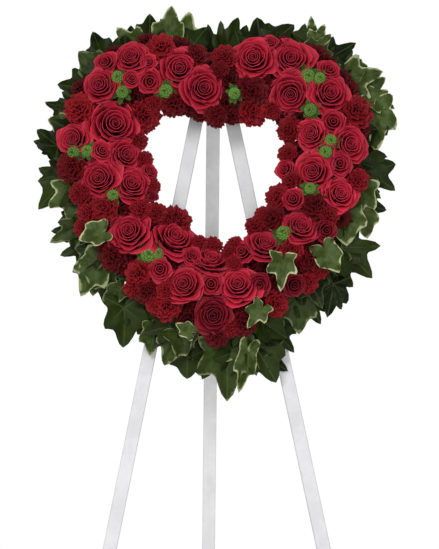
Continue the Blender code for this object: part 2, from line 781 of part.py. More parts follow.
def make_ivy(number, leaves, group, material, parent, pins):
    """A vine along the form's edge with its leaves, in one of two depth layers, pinned in the foam."""
    low = LAYER_BACK if number % 2 else LAYER_FRONT
    middle = low + LAYER_DEPTH / 2
    draw = random.Random(100 + number)
    name = f"ivy_spray_{number:02d}"
    bodies = []
    stations = []
    for order, entry in enumerate(leaves):
        across, up, length, half_width, angle = entry
        base = Vector((across * MM, up * MM))
        angle = math.radians(angle)
        nearest = sorted(range(len(HEART)), key=lambda k: (HEART[k] - base).length_squared)
        index = next(k for k in nearest if joint_is_free(k, stations))
        joint = vine_place(index)
        stations.append(index)
        start = middle + LEAF_STEPS[2 * order % len(LEAF_STEPS)]
        swing = draw.uniform(-LEAF_SWING, LEAF_SWING)

        def depth_at(x, y, start=start, swing=swing):
            if y < -0.5:
                return middle + LEAF_THICK / 2
            return start - LEAF_DROOP * y + swing * x - LEAF_FOLD * abs(x)

        base = clear_of_form(base, length * MM, half_width * MM, angle)
        bm = leaf_mesh(base, joint, length * MM, half_width * MM, angle, depth_at)
        bodies.append(mesh_object(f"{name}_leaf", bm, group, material, parent))
    if max(stations) - min(stations) > len(HEART) / 2:
        stations = [index if index > len(HEART) / 2 else index + len(HEART) for index in stations]
    stations = sorted(set(stations))
    stations = [stations[0] - 2] + stations + [stations[-1] + 2]
    route = []
    for here, there in zip(stations, stations[1:]):
        bend = HEART_NORMALS[here % len(HEART)].angle(HEART_NORMALS[there % len(HEART)])
        parts = max(1, round((there - here) / VINE_STEP), math.ceil(bend / VINE_BEND))
        route.extend(here + (there - here) * part / parts for part in range(parts))
    path = []
    for index in route + stations[-1:]:
        place = vine_place(round(index))
        path.append(wreath_point(place.x, place.y, middle))
    held = stations[len(stations) // 2] % len(HEART)
    outer, inner = (HEART[held] + HEART_NORMALS[held] * (FOAM_HALF_WIDTH + out)
                    for out in (VINE_OUT, -VINE_SEAT))
    pin = (wreath_point(outer.x, outer.y, middle), wreath_point(inner.x, inner.y, middle))
    pins.append(pin)
    bodies.append(mesh_object(f"{name}_pin", bar_mesh(*pin, VINE_PIN, 4), group, material, parent))
    vine = tube_object(f"{name}_vine", path, VINE_RADIUS, 0, group, material, parent)
    whole = combine(vine, bodies, "UNION")
    whole.name = name
    return whole


def tube_object(name, points, radius, resolution, group, material, parent):
    """A tube with filled caps along a hand-set or worked-out route, as a mesh."""
    curve = bpy.data.curves.new(name, "CURVE")
    curve.dimensions = "3D"
    curve.bevel_depth = radius
    curve.bevel_resolution = resolution
    curve.use_fill_caps = True
    spline = curve.splines.new("POLY")
    spline.points.add(len(points) - 1)
    for slot, point in zip(spline.points, points):
        slot.co = (*point, 1.0)
    guide = bpy.data.objects.new(name + "_route", curve)
    group.objects.link(guide)
    view = bpy.context.evaluated_depsgraph_get()
    view.update()
    bm = bmesh.new()
    bm.from_mesh(bpy.data.meshes.new_from_object(guide.evaluated_get(view)))
    bmesh.ops.remove_doubles(bm, verts=bm.verts, dist=1e-6)
    bmesh.ops.triangulate(bm, faces=bm.faces)
    bmesh.ops.recalc_face_normals(bm, faces=bm.faces)
    bpy.data.objects.remove(guide, do_unlink=True)
    return mesh_object(name, bm, group, material, parent)


# Easel


def bevelled(bm, width):
    bmesh.ops.bevel(bm, geom=bm.edges[:], offset=width, segments=1, affect="EDGES", profile=0.5,
                    material=-1)
    return bm


def make_front_leg(side, group, material, parent):
    """A slat that meets its twin on the middle plane, with its foot cut flat on the floor."""
    length = LEG_CROSSING / math.cos(LEG_SPREAD) + 0.05
    bm = bevelled(box_mesh((-LEG_WIDTH / 2, 0.0, -length), (LEG_WIDTH / 2, LEG_THICK, 0.02)), LEG_EDGE)
    turn = Matrix.Translation((0, 0, LEG_CROSSING)) @ Matrix.Rotation(-side * LEG_SPREAD, 4, "Y")
    bmesh.ops.transform(bm, matrix=turn, verts=bm.verts)
    trim(bm, (side * GAP / 2, 0, 0), (-side, 0, 0))
    trim(bm, (0, 0, LEG_TOP), (0, 0, 1))
    trim(bm, (0, 0, 0), -floor_normal())
    name = "leg_right" if side > 0 else "leg_left"
    return mesh_object(name, bm, group, material, parent)


def make_head_block(group, material, parent):
    front = LEG_THICK + GAP
    bm = box_mesh((-BLOCK_WIDTH / 2, front, BLOCK_TOP - BLOCK_HEIGHT),
                  (BLOCK_WIDTH / 2, front + BLOCK_THICK, BLOCK_TOP))
    return mesh_object("head_block", bevelled(bm, LEG_EDGE), group, material, parent)


def hinge_axis():
    """The pin's place in the front frame: under the block, in line with the closed leaves."""
    back = LEG_THICK + GAP + BLOCK_THICK
    under = BLOCK_TOP - BLOCK_HEIGHT - BARREL_RADIUS - HINGE_ROOM
    return Vector((0.0, back + GAP + HINGE_LEAF + GAP / 2, under))


def barrel(name, start, end, radius, group, parent):
    return mesh_object(name, bar_mesh((start, 0, 0), (end, 0, 0), radius, BARREL_SIDES), group, None, parent)


def make_hinge_leaf(name, back_side, knuckles, group, material, parent):
    """A plate with its knuckles, bored for the pin. Its origin is on the pin's axis."""
    sign = 1 if back_side else -1
    near = sign * GAP / 2
    far = sign * (GAP / 2 + HINGE_LEAF)
    bm = box_mesh((-HINGE_WIDTH / 2, min(near, far), BARREL_RADIUS * 0.6),
                  (HINGE_WIDTH / 2, max(near, far), BARREL_RADIUS + HINGE_HEIGHT))
    plate = mesh_object(name, bm, group, material, parent)
    whole = HINGE_WIDTH / 3
    rooms = [k for k in range(3) if k not in knuckles]
    cuts = []
    for k in rooms:
        start = -HINGE_WIDTH / 2 + k * whole - GAP / 2
        cut = box_mesh((start, -0.01, -0.01), (start + whole + GAP, 0.01, BARREL_RADIUS + HINGE_ROOM))
        cuts.append(mesh_object(f"{name}_room_{k}", cut, group, None, parent))
    combine(plate, cuts, "DIFFERENCE", "EXACT")
    rolls = []
    for k in knuckles:
        start = -HINGE_WIDTH / 2 + k * whole + GAP / 2
        rolls.append(barrel(f"{name}_roll_{k}", start, start + whole - GAP, BARREL_RADIUS, group, parent))
    combine(plate, rolls, "UNION", "EXACT")
    bore = barrel(f"{name}_bore", -HINGE_WIDTH, HINGE_WIDTH, PIN_RADIUS + GAP, group, parent)
    return combine(plate, [bore], "DIFFERENCE", "EXACT")


def make_rear_leg(group, material, parent):
    """The rear slat: its head is cut along the closed hinge and its foot flat on the floor."""
    front = BARREL_RADIUS + 0.0008
    length = 1.35
    bm = bevelled(box_mesh((-LEG_WIDTH / 2, front, -length), (LEG_WIDTH / 2, front + LEG_THICK, 0.016)),
                  LEG_EDGE)
    bmesh.ops.transform(bm, matrix=Matrix.Rotation(REAR_SPREAD, 4, "X"), verts=bm.verts)
    trim(bm, (0, GAP / 2 + HINGE_LEAF + GAP, 0), (0, -1, 0))
    trim(bm, -hinge_axis(), -floor_normal())
    return mesh_object("leg_rear", bm, group, material, parent)


def make_hanger(group, material, parent):
    """The wire that hooks the form over the leg tops: up from the tray's edge, over and down."""
    half = HANGER_HALF
    line = even_line(HEART, FORM_STATIONS)
    normals = line_normals(line)
    notch, beside = (line[k] + normals[k] * (FOAM_HALF_WIDTH + TRAY_WALL + GAP) for k in (0, 1))
    part = (half + WIRE_RADIUS - notch.x) / (beside.x - notch.x)
    tray_edge = WREATH_HEIGHT + notch.y + (beside.y - notch.y) * part
    front = -(TRAY_DEPTH + HANGER_STAND)
    back = LEG_THICK + WIRE_RADIUS + GAP
    over = LEG_TOP + WIRE_RADIUS + GAP
    down = BLOCK_TOP + WIRE_RADIUS + GAP
    side = [(half, front, tray_edge + GAP), (half, front, over - 0.005), (half, front + 0.004, over),
            (half, back - 0.0006, over), (half, back, over - 0.0006), (half, back, down + 0.002),
            (half - 0.002, back, down)]
    route = side + [(-x, y, z) for x, y, z in reversed(side)]
    return tube_object("form_hanger", route, WIRE_RADIUS, 1, group, material, parent)


def centre_on_floor(frame, group):
    """Moves the whole object so that the middle of its box stands on the origin."""
    bpy.context.view_layer.update()
    corners = [thing.matrix_world @ vert.co for thing in group.objects if thing.type == "MESH"
               for vert in thing.data.vertices]
    low = Vector([min(corner[k] for corner in corners) for k in range(3)])
    high = Vector([max(corner[k] for corner in corners) for k in range(3)])
    middle = (low + high) / 2
    frame.location = (-middle.x, -middle.y, -low.z)


def main():
    clear_scene()
    group = make_collection("heart_wreath_on_easel")
    white = make_material("white_wood", WHITE_WOOD)
    steel = make_material("plated_steel", PLATED_STEEL)
    frame = bpy.data.objects.new("front_frame", None)
    frame.rotation_euler.x = -LEAN
    group.objects.link(frame)
    swing = bpy.data.objects.new("rear_hinge_axis", None)
    swing.location = hinge_axis()
    swing.parent = frame
    group.objects.link(swing)
    for side in (-1, 1):
        make_front_leg(side, group, white, frame)
    make_head_block(group, white, frame)
    make_rear_leg(group, white, swing)
    make_hinge_leaf("hinge_leaf_fixed", False, [1], group, steel, swing)
    make_hinge_leaf("hinge_leaf_moving", True, [0, 2], group, steel, swing)
    barrel("hinge_pin", -HINGE_WIDTH / 2 - PIN_PROUD, HINGE_WIDTH / 2 + PIN_PROUD, PIN_RADIUS, group,
           swing).data.materials.append(steel)
    make_hanger(group, steel, frame)
    make_tray(group, make_material("form_plastic", FORM_PLASTIC), frame)
    stems = make_flowers(group, frame, make_material("rose_petals", ROSE_RED),
                         make_material("bunch_petals", BUNCH_RED))
    ivy = make_material("ivy_leaves", IVY_GREEN)
    pins = []
    for number, leaves in enumerate(IVY_SPRAYS, 1):
        make_ivy(number, leaves, group, ivy, frame, pins)
    make_foam(group, make_material("wet_foam", WET_FOAM), frame, stems, pins)
    centre_on_floor(frame, group)


main()
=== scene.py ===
# Dresses the open heart wreath and its tripod easel: petals, ivy, foam, painted wood, light and camera.
# Metres, +Z up, front towards -Y.

import math
import random

import bmesh
import bpy
from mathutils import Matrix, Vector
from mathutils.kdtree import KDTree


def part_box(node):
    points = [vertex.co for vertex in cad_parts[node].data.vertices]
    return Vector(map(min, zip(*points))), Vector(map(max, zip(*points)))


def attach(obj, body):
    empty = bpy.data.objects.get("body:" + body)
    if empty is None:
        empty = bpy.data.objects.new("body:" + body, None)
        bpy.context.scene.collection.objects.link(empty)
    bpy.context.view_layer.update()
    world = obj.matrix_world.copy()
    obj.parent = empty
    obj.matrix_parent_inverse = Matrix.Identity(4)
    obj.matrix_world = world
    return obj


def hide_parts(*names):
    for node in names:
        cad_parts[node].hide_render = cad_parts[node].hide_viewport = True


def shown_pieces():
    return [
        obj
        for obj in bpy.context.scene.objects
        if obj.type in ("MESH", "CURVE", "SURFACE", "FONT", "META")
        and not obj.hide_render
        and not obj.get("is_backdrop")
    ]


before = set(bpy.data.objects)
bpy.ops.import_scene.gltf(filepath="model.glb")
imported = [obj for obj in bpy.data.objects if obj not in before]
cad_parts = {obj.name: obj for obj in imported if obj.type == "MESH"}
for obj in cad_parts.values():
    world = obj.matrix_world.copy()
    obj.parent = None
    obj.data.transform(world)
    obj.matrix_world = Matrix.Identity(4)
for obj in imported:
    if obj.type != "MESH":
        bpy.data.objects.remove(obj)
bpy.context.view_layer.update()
print("frame loaded")

mm = 0.001
body = "front_frame"

# The leaning front frame, found again from the hinge pin that it carries
frameSizes = {
    "lean": math.radians(10.0),
    "wreathHeight": 0.941 / math.cos(math.radians(10.0)),
    "pinBack": 0.02625,
    "pinUp": 1.1246,
}
pinLow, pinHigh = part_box("hinge_pin")
leanTurn = Matrix.Rotation(-frameSizes["lean"], 3, "X")
leanFoot = (pinLow + pinHigh) / 2 - leanTurn @ Vector((0, frameSizes["pinBack"], frameSizes["pinUp"]))


def wreathPoint(across, up, depth):
    # from the wreath's own axes (right, up, out of its face) to the room
    return leanFoot + leanTurn @ Vector((across, -depth, frameSizes["wreathHeight"] + up))


def wreathTurn(vector):
    return leanTurn @ Vector((vector.x, -vector.z, vector.y))


# The photo, 439 x 549 pixels: its camera, the pixel of the wreath's centre and a pixel's millimetres
photo = {"width": 439, "height": 549, "cameraTurn": math.radians(-2.1), "cameraBack": 4.5,
         "seenHeight": 0.922, "aimAcross": 0.0039, "aimHeight": 0.811, "middleX": 215.5, "middleY": 190,
         "pixelSize": 1.68}
cameraAim = Vector((photo["aimAcross"], wreathPoint(0, 0, 0.04).y, photo["aimHeight"]))
cameraAway = Vector((math.sin(photo["cameraTurn"]), -math.cos(photo["cameraTurn"]), 0)) * photo["cameraBack"]


def fromPhoto(x, y, depth):
    # where the line of sight through a pixel meets the plane at this depth of the wreath
    ahead = -cameraAway.normalized()
    side = ahead.cross(Vector((0, 0, 1)))
    focal = photo["height"] * photo["cameraBack"] / photo["seenHeight"]
    sight = ahead * focal + side * (x - photo["width"] / 2) + Vector((0, 0, photo["height"] / 2 - y))
    start = wreathPoint(0, 0, depth) - cameraAim - cameraAway
    facing = wreathTurn(Vector((0, 0, 1)))
    spot = leanTurn.inverted() @ (sight * (start.dot(facing) / sight.dot(facing)) - start)
    return Vector((spot.x, spot.z))


# Blooms that are darker or brighter than their neighbours, and those that turn their faces aside
darkBlooms = {(-71, 144), (61, 165), (-1, 121), (-244, 40), (-176, -118), (88, -44), (166, -26),
              (160, -124), (-1, -249), (46, -228), (-118, -176), (3, 205), (-6, -215), (184, -71),
              (130, -163), (71, -165), (-29, 232), (-107, -8)}
brightBlooms = {(66, 134), (-134, -145), (-85, -198), (241, 17), (125, -104), (-167, 111), (34, -160),
                (-93, 247), (-231, 138), (209, -8)}
turnedBlooms = {(-147, -71): (-0.30, 0.30), (-66, -76): (0.05, 0.30), (-9, -111): (0.0, 0.42),
                (82, -89): (0.32, 0.25), (-56, -160): (-0.10, 0.15), (34, -160): (0.0, 0.32),
                (-18, 171): (0.08, 0.05), (-144, 228): (-0.10, 0.15), (228, 76): (0.18, 0.0),
                (209, -8): (0.10, 0.18), (142, -62): (0.05, 0.25), (-197, 18): (-0.10, 0.05)}

# Where everything is planted, in millimetres from the wreath's centre: across, up, radius
roses = [(-144, 228, 28), (-60, 206, 33), (-196, 178, 28), (-167, 111, 42), (-241, 87, 26),
         (-18, 171, 34), (63, 226, 33), (127, 225, 34), (125, 160, 33), (194, 165, 32),
         (228, 76, 33), (157, 96, 25), (-147, 59, 29), (-197, 18, 33), (-139, 10, 30),
         (-147, -71, 34), (-66, -76, 36), (-9, -111, 31), (82, -89, 31), (-56, -160, 30),
         (34, -160, 33), (159, 30, 31), (209, -8, 28), (142, -62, 28), (-6, -215, 30)]
sprayRoses = [(-187, 218, 18), (-110, 181, 19), (192, 207, 18), (197, 114, 20), (-189, 64, 16),
              (-95, -138, 18), (-10, -162, 18), (-40, -113, 15), (40, -104, 20), (127, -17, 18),
              (113, 37, 17), (207, 42, 19), (184, -71, 18), (130, -163, 18), (71, -165, 19),
              (-107, 34, 13), (-107, -8, 12), (-113, 215, 13), (-140, 187, 14), (92, 255, 13)]
carnations = [(-93, 247, 23), (-29, 232, 21), (14, 232, 20), (3, 205, 16), (-231, 138, 25),
              (-115, 124, 26), (-71, 144, 22), (61, 165, 28), (66, 134, 24), (-1, 121, 18),
              (239, 138, 27), (118, 104, 21), (-244, 40, 24), (-231, -7, 18),
              (-189, -34, 22), (-219, -42, 16), (-123, -33, 18), (-61, -42, 24),
              (-176, -118, 22), (-134, -145, 22), (-118, -176, 19),
              (-85, -198, 24), (-1, -249, 20), (46, -228, 21), (100, -8, 20),
              (88, -44, 22), (166, -26, 23), (189, -44, 17), (125, -104, 19), (160, -124, 21),
              (241, 17, 18), (103, -195, 21), (156, -160, 17),
              (-125, 86, 15), (-98, -37, 16), (-226, -66, 15), (-85, -175, 16),
              (117, 66, 17), (122, 18, 16), (61, -56, 16), (74, -38, 14), (-2, -88, 14), (-26, -84, 13),
              (27, -88, 13), (-114, 56, 13), (-104, 8, 14), (-104, 142, 14), (96, 132, 14),
              (21, -103, 14), (-142, -170, 15), (22, -238, 14), (28, -122, 13), (-106, -196, 15),
              (176, -138, 13)]
buttons = [(-165, 190, 10), (-157, 165, 10), (-85, 166, 11), (155, 193, 11), (175, 190, 9),
           (33, 162, 9), (157, 134, 10), (192, 82, 10), (182, 62, 10), (-241, 62, 10),
           (-216, 63, 9), (-172, -12, 9), (-112, -113, 13), (110, -74, 12), (-97, -110, 9), (156, 1, 9)]
# the open middle, round its edge in the photo's pixels
holePixels = [
    (163, 115), (175, 109), (190, 115), (200, 118), (207, 128), (224, 128), (226, 120), (240, 122),
    (258, 116), (265, 121), (275, 119), (277, 130), (277, 150), (283, 160), (278, 175), (276, 185),
    (268, 195), (262, 205), (256, 212), (250, 220), (243, 232), (233, 238), (218, 236), (205, 242),
    (195, 238), (192, 228), (190, 215), (180, 207), (170, 203), (160, 203), (158, 190), (158, 175),
    (150, 160), (148, 145), (150, 130), (155, 125)
]
holeEdge = [(round((x - photo["middleX"]) * photo["pixelSize"]),
             round((photo["middleY"] - y) * photo["pixelSize"])) for x, y in holePixels]
# place, half length, and the way that the tip points, in degrees
frontLeaves = [(-203, -78, 26, 200), (108, -138, 28, 265), (188, -116, 30, 300), (66, -212, 23, 235),
               (-52, -236, 17, 150)]
# in the photo's pixels where the stalk joins (x, y) and the tip (x, y), then the half span for the
# length, the layer, and how cream the margin is, left out for a plain leaf
ivyLeaves = [
    (105, 60, 91, 30, 0.40, 1), (99, 73, 77, 51, 0.52, 2, 0.2), (86, 88, 58, 84, 0.58, 1),
    (136, 50, 117, 29, 0.56, 2, 0.9), (148, 42, 153, 12, 0.48, 1, 0.1), (170, 44, 169, 4, 0.40, 2, 0.8),
    (182, 44, 190, 9, 0.40, 1, 0.9), (190, 50, 207, 24, 0.46, 3), (214, 52, 208, 26, 0.34, 0),
    (222, 54, 222, 21, 0.28, 1), (229, 50, 238, 14, 0.26, 2), (262, 50, 257, 15, 0.58, 2),
    (272, 45, 292, 22, 0.60, 1), (318, 50, 291, 31, 0.46, 2), (314, 48, 311, 15, 0.34, 1, 0.9),
    (314, 46, 325, 22, 0.40, 3, 1.0), (312, 56, 330, 35, 0.48, 3, 0.3), (322, 62, 355, 43, 0.40, 1),
    (336, 62, 352, 63, 0.50, 2), (344, 80, 380, 72, 0.56, 3, 0.7), (364, 94, 387, 78, 0.56, 2, 0.5),
    (372, 100, 394, 107, 0.56, 3, 0.8),
    (366, 172, 397, 164, 0.56, 1), (368, 172, 396, 189, 0.42, 2),
    (360, 184, 379, 197, 0.50, 2, 0.8), (360, 202, 387, 210, 0.44, 1),
    (362, 188, 356, 218, 0.48, 3, 0.8), (362, 212, 370, 238, 0.56, 2, 0.9),
    (342, 214, 348, 246, 0.66, 4, 0.8), (340, 250, 377, 246, 0.46, 1), (342, 248, 373, 277, 0.50, 2),
    (334, 270, 354, 287, 0.50, 1), (334, 284, 329, 314, 0.48, 2), (332, 290, 343, 308, 0.40, 1),
    (302, 294, 321, 322, 0.46, 1), (308, 276, 322, 307, 0.50, 3, 0.1),
    (297, 300, 299, 334, 0.52, 2, 0.3), (262, 322, 288, 338, 0.60, 3), (258, 352, 287, 369, 0.44, 1),
    (256, 348, 279, 382, 0.52, 2), (262, 338, 250, 376, 0.44, 1),
    (236, 344, 204, 356, 0.40, 2, 0.6), (248, 352, 240, 392, 0.26, 4, 0.8),
    (188, 352, 186, 379, 0.70, 1), (186, 350, 199, 375, 0.40, 0), (180, 332, 163, 366, 0.46, 2, 0.4),
    (178, 334, 198, 359, 0.46, 3, 0.4), (154, 330, 151, 355, 0.52, 1, 0.5),
    (170, 326, 146, 333, 0.50, 3), (124, 308, 127, 347, 0.56, 2), (128, 306, 107, 325, 0.46, 1),
    (120, 290, 101, 300, 0.50, 2, 0.4), (98, 262, 79, 294, 0.50, 3, 0.6),
    (100, 264, 92, 297, 0.42, 1, 0.2), (96, 266, 118, 292, 0.48, 2, 0.5), (94, 262, 71, 272, 0.40, 1),
    (84, 240, 79, 261, 0.50, 1), (78, 226, 53, 242, 0.48, 2, 0.3), (80, 232, 52, 229, 0.44, 1),
    (76, 212, 58, 223, 0.40, 1), (72, 190, 72, 222, 0.62, 3, 0.8), (64, 182, 36, 206, 0.54, 2),
    (62, 178, 38, 167, 0.50, 1), (58, 146, 36, 127, 0.44, 2), (60, 148, 34, 139, 0.40, 1),
    (62, 142, 44, 154, 0.46, 1), (66, 126, 46, 118, 0.50, 2, 0.8), (70, 110, 44, 101, 0.34, 1),
    (72, 112, 54, 99, 0.36, 2), (66, 160, 50, 166, 0.60, 0), (360, 140, 376, 132, 0.60, 0),
    (356, 66, 368, 66, 0.60, 0, 0.4), (345, 60, 342, 44, 0.50, 0), (300, 45, 304, 24, 0.50, 0),
    (240, 50, 246, 24, 0.50, 0), (130, 44, 132, 24, 0.50, 0), (94, 80, 74, 72, 0.60, 0, 0.5),
    (150, 322, 150, 346, 0.55, 0), (206, 342, 210, 372, 0.60, 0), (316, 296, 308, 318, 0.60, 0),
    (276, 330, 292, 350, 0.50, 0), (350, 206, 372, 222, 0.60, 0), (112, 282, 104, 306, 0.60, 0),
    (86, 248, 62, 254, 0.50, 0), (212, 342, 190, 344, 0.60, 1)
]
# leaves set one by one, by their place in the whole list: across, up and length in mm, the way of the
# tip in degrees, and the rest as above
setLeaves = {22: (270, 147, 70, 274, 0.46, 3, 1.0), 23: (280, 156, 42, 306, 0.24, 1, 0.4),
             43: (16, -265, 77, 273, 0.62, 3, 0.3), 88: (246, 78, 46, 350, 0.50, 0, 0.0)}
halfHeart = [(0, 168), (48, 196), (108, 206), (165, 176), (193, 115), (190, 48),
             (163, -22), (114, -95), (56, -150), (0, -180)]


# The heart's middle line

def heartLine(steps):
    points = halfHeart + [(-x, y) for x, y in halfHeart[-2:0:-1]]
    points = [Vector((x * mm, y * mm)) for x, y in points]
    count = len(points)
    line = []
    for index in range(count):
        before, here, there, after = (points[(index + k - 1) % count] for k in range(4))
        for step in range(steps):
            t = step / steps
            line.append(0.5 * (2 * here + (there - before) * t
                               + (2 * before - 5 * here + 4 * there - after) * t * t
                               + (3 * here - before - 3 * there + after) * t ** 3))
    return line


def outwardAt(line, index):
    along = line[(index + 1) % len(line)] - line[index - 1]
    return Vector((-along.y, along.x)).normalized()


heart = heartLine(10)
heartOut = [outwardAt(heart, index) for index in range(len(heart))]


def nearestOnHeart(place):
    index = min(range(len(heart)), key=lambda k: (heart[k] - place).length_squared)
    away = place - heart[index]
    return index, away.length * (1 if away.dot(heartOut[index]) > 0 else -1)


# Shader helpers

def addNode(tree, kind, inputs=None, **settings):
    node = tree.nodes.new(kind)
    for name, value in settings.items():
        setattr(node, name, value)
    for name, value in (inputs or {}).items():
        socket = node.inputs[name]
        if isinstance(value, bpy.types.NodeSocket):
            tree.links.new(value, socket)
        else:
            socket.default_value = value
    return node


def maths(tree, operation, first, second, third=0.0):
    node = addNode(tree, "ShaderNodeMath", {0: first, 1: second, 2: third}, operation=operation)
    return node.outputs[0]


def mixColour(tree, factor, first, second, blend="MIX"):
    node = addNode(tree, "ShaderNodeMix", {0: factor, 6: first, 7: second}, data_type="RGBA",
                   blend_type=blend)
    return node.outputs[2]


def fade(tree, value, low, high):
    # 0 below low, 1 above high, smooth between
    node = addNode(tree, "ShaderNodeMapRange", {"Value": value, "From Min": low, "From Max": high},
                   interpolation_type="SMOOTHSTEP")
    return node.outputs[0]


def noise(tree, vector, scale, detail, roughness=0.5):
    node = addNode(tree, "ShaderNodeTexNoise", {"Vector": vector, "Scale": scale, "Detail": detail,
                                                "Roughness": roughness})
    return node.outputs[0]


def objectPlace(tree):
    return addNode(tree, "ShaderNodeTexCoord").outputs["Object"]


def useGroup(tree, group, inputs):
    return addNode(tree, "ShaderNodeGroup", inputs, node_tree=group)


def newGroup(name, inputs, outputs):
    group = bpy.data.node_groups.new(name, "ShaderNodeTree")
    for label, kind, value in inputs:
        socket = group.interface.new_socket(label, in_out="INPUT", socket_type=kind)
        if value is not None:
            socket.default_value = value
    for label, kind in outputs:
        group.interface.new_socket(label, in_out="OUTPUT", socket_type=kind)
    return group, group.nodes.new("NodeGroupInput"), group.nodes.new("NodeGroupOutput")


def makeMottleGroup():
    # soft cloudy change between two colours, with a finer speckle laid over it
    group, source, result = newGroup(
        "mottle",
        [("Vector", "NodeSocketVector", None), ("Scale", "NodeSocketFloat", 60.0),
         ("Dark", "NodeSocketColor", (0, 0, 0, 1)), ("Light", "NodeSocketColor", (1, 1, 1, 1))],
        [("Colour", "NodeSocketColor"), ("Mask", "NodeSocketFloat")])
    cloud = noise(group, source.outputs["Vector"], source.outputs["Scale"], 4.0)
    finer = maths(group, "MULTIPLY", source.outputs["Scale"], 7.0)
    speck = noise(group, source.outputs["Vector"], finer, 2.0)
    speckled = maths(group, "MULTIPLY_ADD", speck, 0.35, cloud)
    mask = fade(group, speckled, 0.48, 0.88)
    colour = mixColour(group, mask, source.outputs["Dark"], source.outputs["Light"])
    group.links.new(colour, result.inputs["Colour"])
    group.links.new(mask, result.inputs["Mask"])
    return group


def makeFibreGroup():
    # long fine streaks along one way of a surface, as in petals, leaves and painted grain
    group, source, result = newGroup(
        "fibre",
        [("Vector", "NodeSocketVector", None), ("Stretch", "NodeSocketVector", (40.0, 2.0, 40.0)),
         ("Roughness", "NodeSocketFloat", 0.6)],
        [("Height", "NodeSocketFloat")])
    drawn = addNode(group, "ShaderNodeVectorMath", {0: source.outputs["Vector"],
                                                    1: source.outputs["Stretch"]}, operation="MULTIPLY")
    streak = noise(group, drawn.outputs[0], 1.0, 3.0, source.outputs["Roughness"])
    group.links.new(streak, result.inputs["Height"])
    return group


mottleGroup = makeMottleGroup()
fibreGroup = makeFibreGroup()


def mottle(tree, place, scale, dark=(0, 0, 0, 1), light=(1, 1, 1, 1)):
    return useGroup(tree, mottleGroup, {"Vector": place, "Scale": scale, "Dark": dark,
                                        "Light": light}).outputs


def fibre(tree, place, stretch, roughness):
    return useGroup(tree, fibreGroup, {"Vector": place, "Stretch": stretch,
                                       "Roughness": roughness}).outputs["Height"]


def newMaterial(name, constants):
    material = bpy.data.materials.new(name)
    material.use_nodes = True
    tree = material.node_tree
    shader = tree.nodes["Principled BSDF"]
    for label, value in constants.items():
        shader.inputs[label].default_value = value
    return material, tree, shader


def attribute(tree, name):
    return addNode(tree, "ShaderNodeAttribute", attribute_name=name).outputs["Fac"]


def bumpInto(tree, shader, height, strength, distance):
    bump = addNode(tree, "ShaderNodeBump", {"Height": height, "Strength": strength,
                                            "Distance": distance})
    tree.links.new(bump.outputs[0], shader.inputs["Normal"])


def roughnessInto(tree, shader, mask, low, high):
    value = addNode(tree, "ShaderNodeMapRange", {"Value": mask, "To Min": low, "To Max": high})
    tree.links.new(value.outputs[0], shader.inputs["Roughness"])


# Petals: darkened towards the base as painted shade, brighter at the rim, with a painted highlight along the
# rim's edge and fine veins running up them

def makePetalMaterial(name, looks):
    material, tree, shader = newMaterial(name, {"Sheen Weight": 0.03, "Sheen Roughness": 0.45,
                                                "Sheen Tint": (1.0, 0.35, 0.45, 1.0),
                                                "Specular IOR Level": 0.12})
    across = attribute(tree, "across")
    rim = attribute(tree, "rim")
    shade = attribute(tree, "shade")
    flat = addNode(tree, "ShaderNodeCombineXYZ", {0: across, 1: rim, 2: shade}).outputs[0]
    streak = fibre(tree, flat, looks["veins"], 0.6)
    cloud = mottle(tree, objectPlace(tree), 55.0)["Mask"]
    uneven = maths(tree, "MULTIPLY_ADD", streak, 0.30, -0.15)
    level = maths(tree, "ADD", rim, uneven)
    # painted shade: the deep colour darkens each petal towards its base, where it sits in the cup
    lower = mixColour(tree, fade(tree, level, 0.25, 0.70), looks["deep"], looks["middle"])
    upper = mixColour(tree, fade(tree, level, 0.62, 1.02), lower, looks["bright"])
    # painted highlight: a thin line of the edge colour along each petal's rim
    rimHighlight = maths(tree, "MULTIPLY", fade(tree, rim, 0.90, 1.0), looks["rimHighlightShare"])
    highlighted = mixColour(tree, rimHighlight, upper, looks["edge"])
    dim = maths(tree, "MULTIPLY_ADD", cloud, 0.22, 0.86)
    toned = maths(tree, "MULTIPLY", dim, shade)
    grey = addNode(tree, "ShaderNodeCombineColor", {0: toned, 1: toned, 2: toned}).outputs[0]
    colour = mixColour(tree, 1.0, highlighted, grey, "MULTIPLY")
    tree.links.new(colour, shader.inputs["Base Color"])
    roughnessInto(tree, shader, streak, looks["roughness"] - 0.08, looks["roughness"] + 0.12)
    bumpInto(tree, shader, streak, 0.35, 0.0009)
    return material


# Ivy: dark green with pale veins; the variegated leaves have a cream margin and grey-green patches

def makeIvyMaterial(name, looks):
    material, tree, shader = newMaterial(name, {"Specular IOR Level": 0.10})
    edge = attribute(tree, "edge")
    gap = attribute(tree, "veinGap")
    tone = attribute(tree, "tone")
    cream = attribute(tree, "cream")
    place = objectPlace(tree)
    cloud = mottle(tree, place, 45.0, looks["dark"], looks["mid"])["Colour"]
    patch = noise(tree, place, 70.0, 2.0)
    fine = noise(tree, place, 420.0, 2.0)
    lit = mixColour(tree, maths(tree, "MULTIPLY", tone, 0.75), cloud, looks["fresh"])
    pale = maths(tree, "MULTIPLY", cream, 0.40)
    patchy = maths(tree, "MULTIPLY", fade(tree, patch, 0.38, 0.62), pale)
    patched = mixColour(tree, patchy, lit, looks["greyGreen"])
    vein = maths(tree, "SUBTRACT", 1.0, fade(tree, gap, 0.006, 0.030))
    veined = mixColour(tree, maths(tree, "MULTIPLY", vein, 0.55), patched, looks["vein"])
    ragged = maths(tree, "MULTIPLY_ADD", patch, 0.50, maths(tree, "SUBTRACT", edge, 0.25))
    margin = maths(tree, "MULTIPLY", fade(tree, ragged, 0.90, 0.99), cream)
    colour = mixColour(tree, margin, veined, looks["cream"])
    tree.links.new(colour, shader.inputs["Base Color"])
    roughnessInto(tree, shader, fine, 0.34, 0.52)
    relief = maths(tree, "MULTIPLY_ADD", vein, -0.8, maths(tree, "MULTIPLY", fine, 0.35))
    bumpInto(tree, shader, relief, 0.5, 0.0008)
    return material


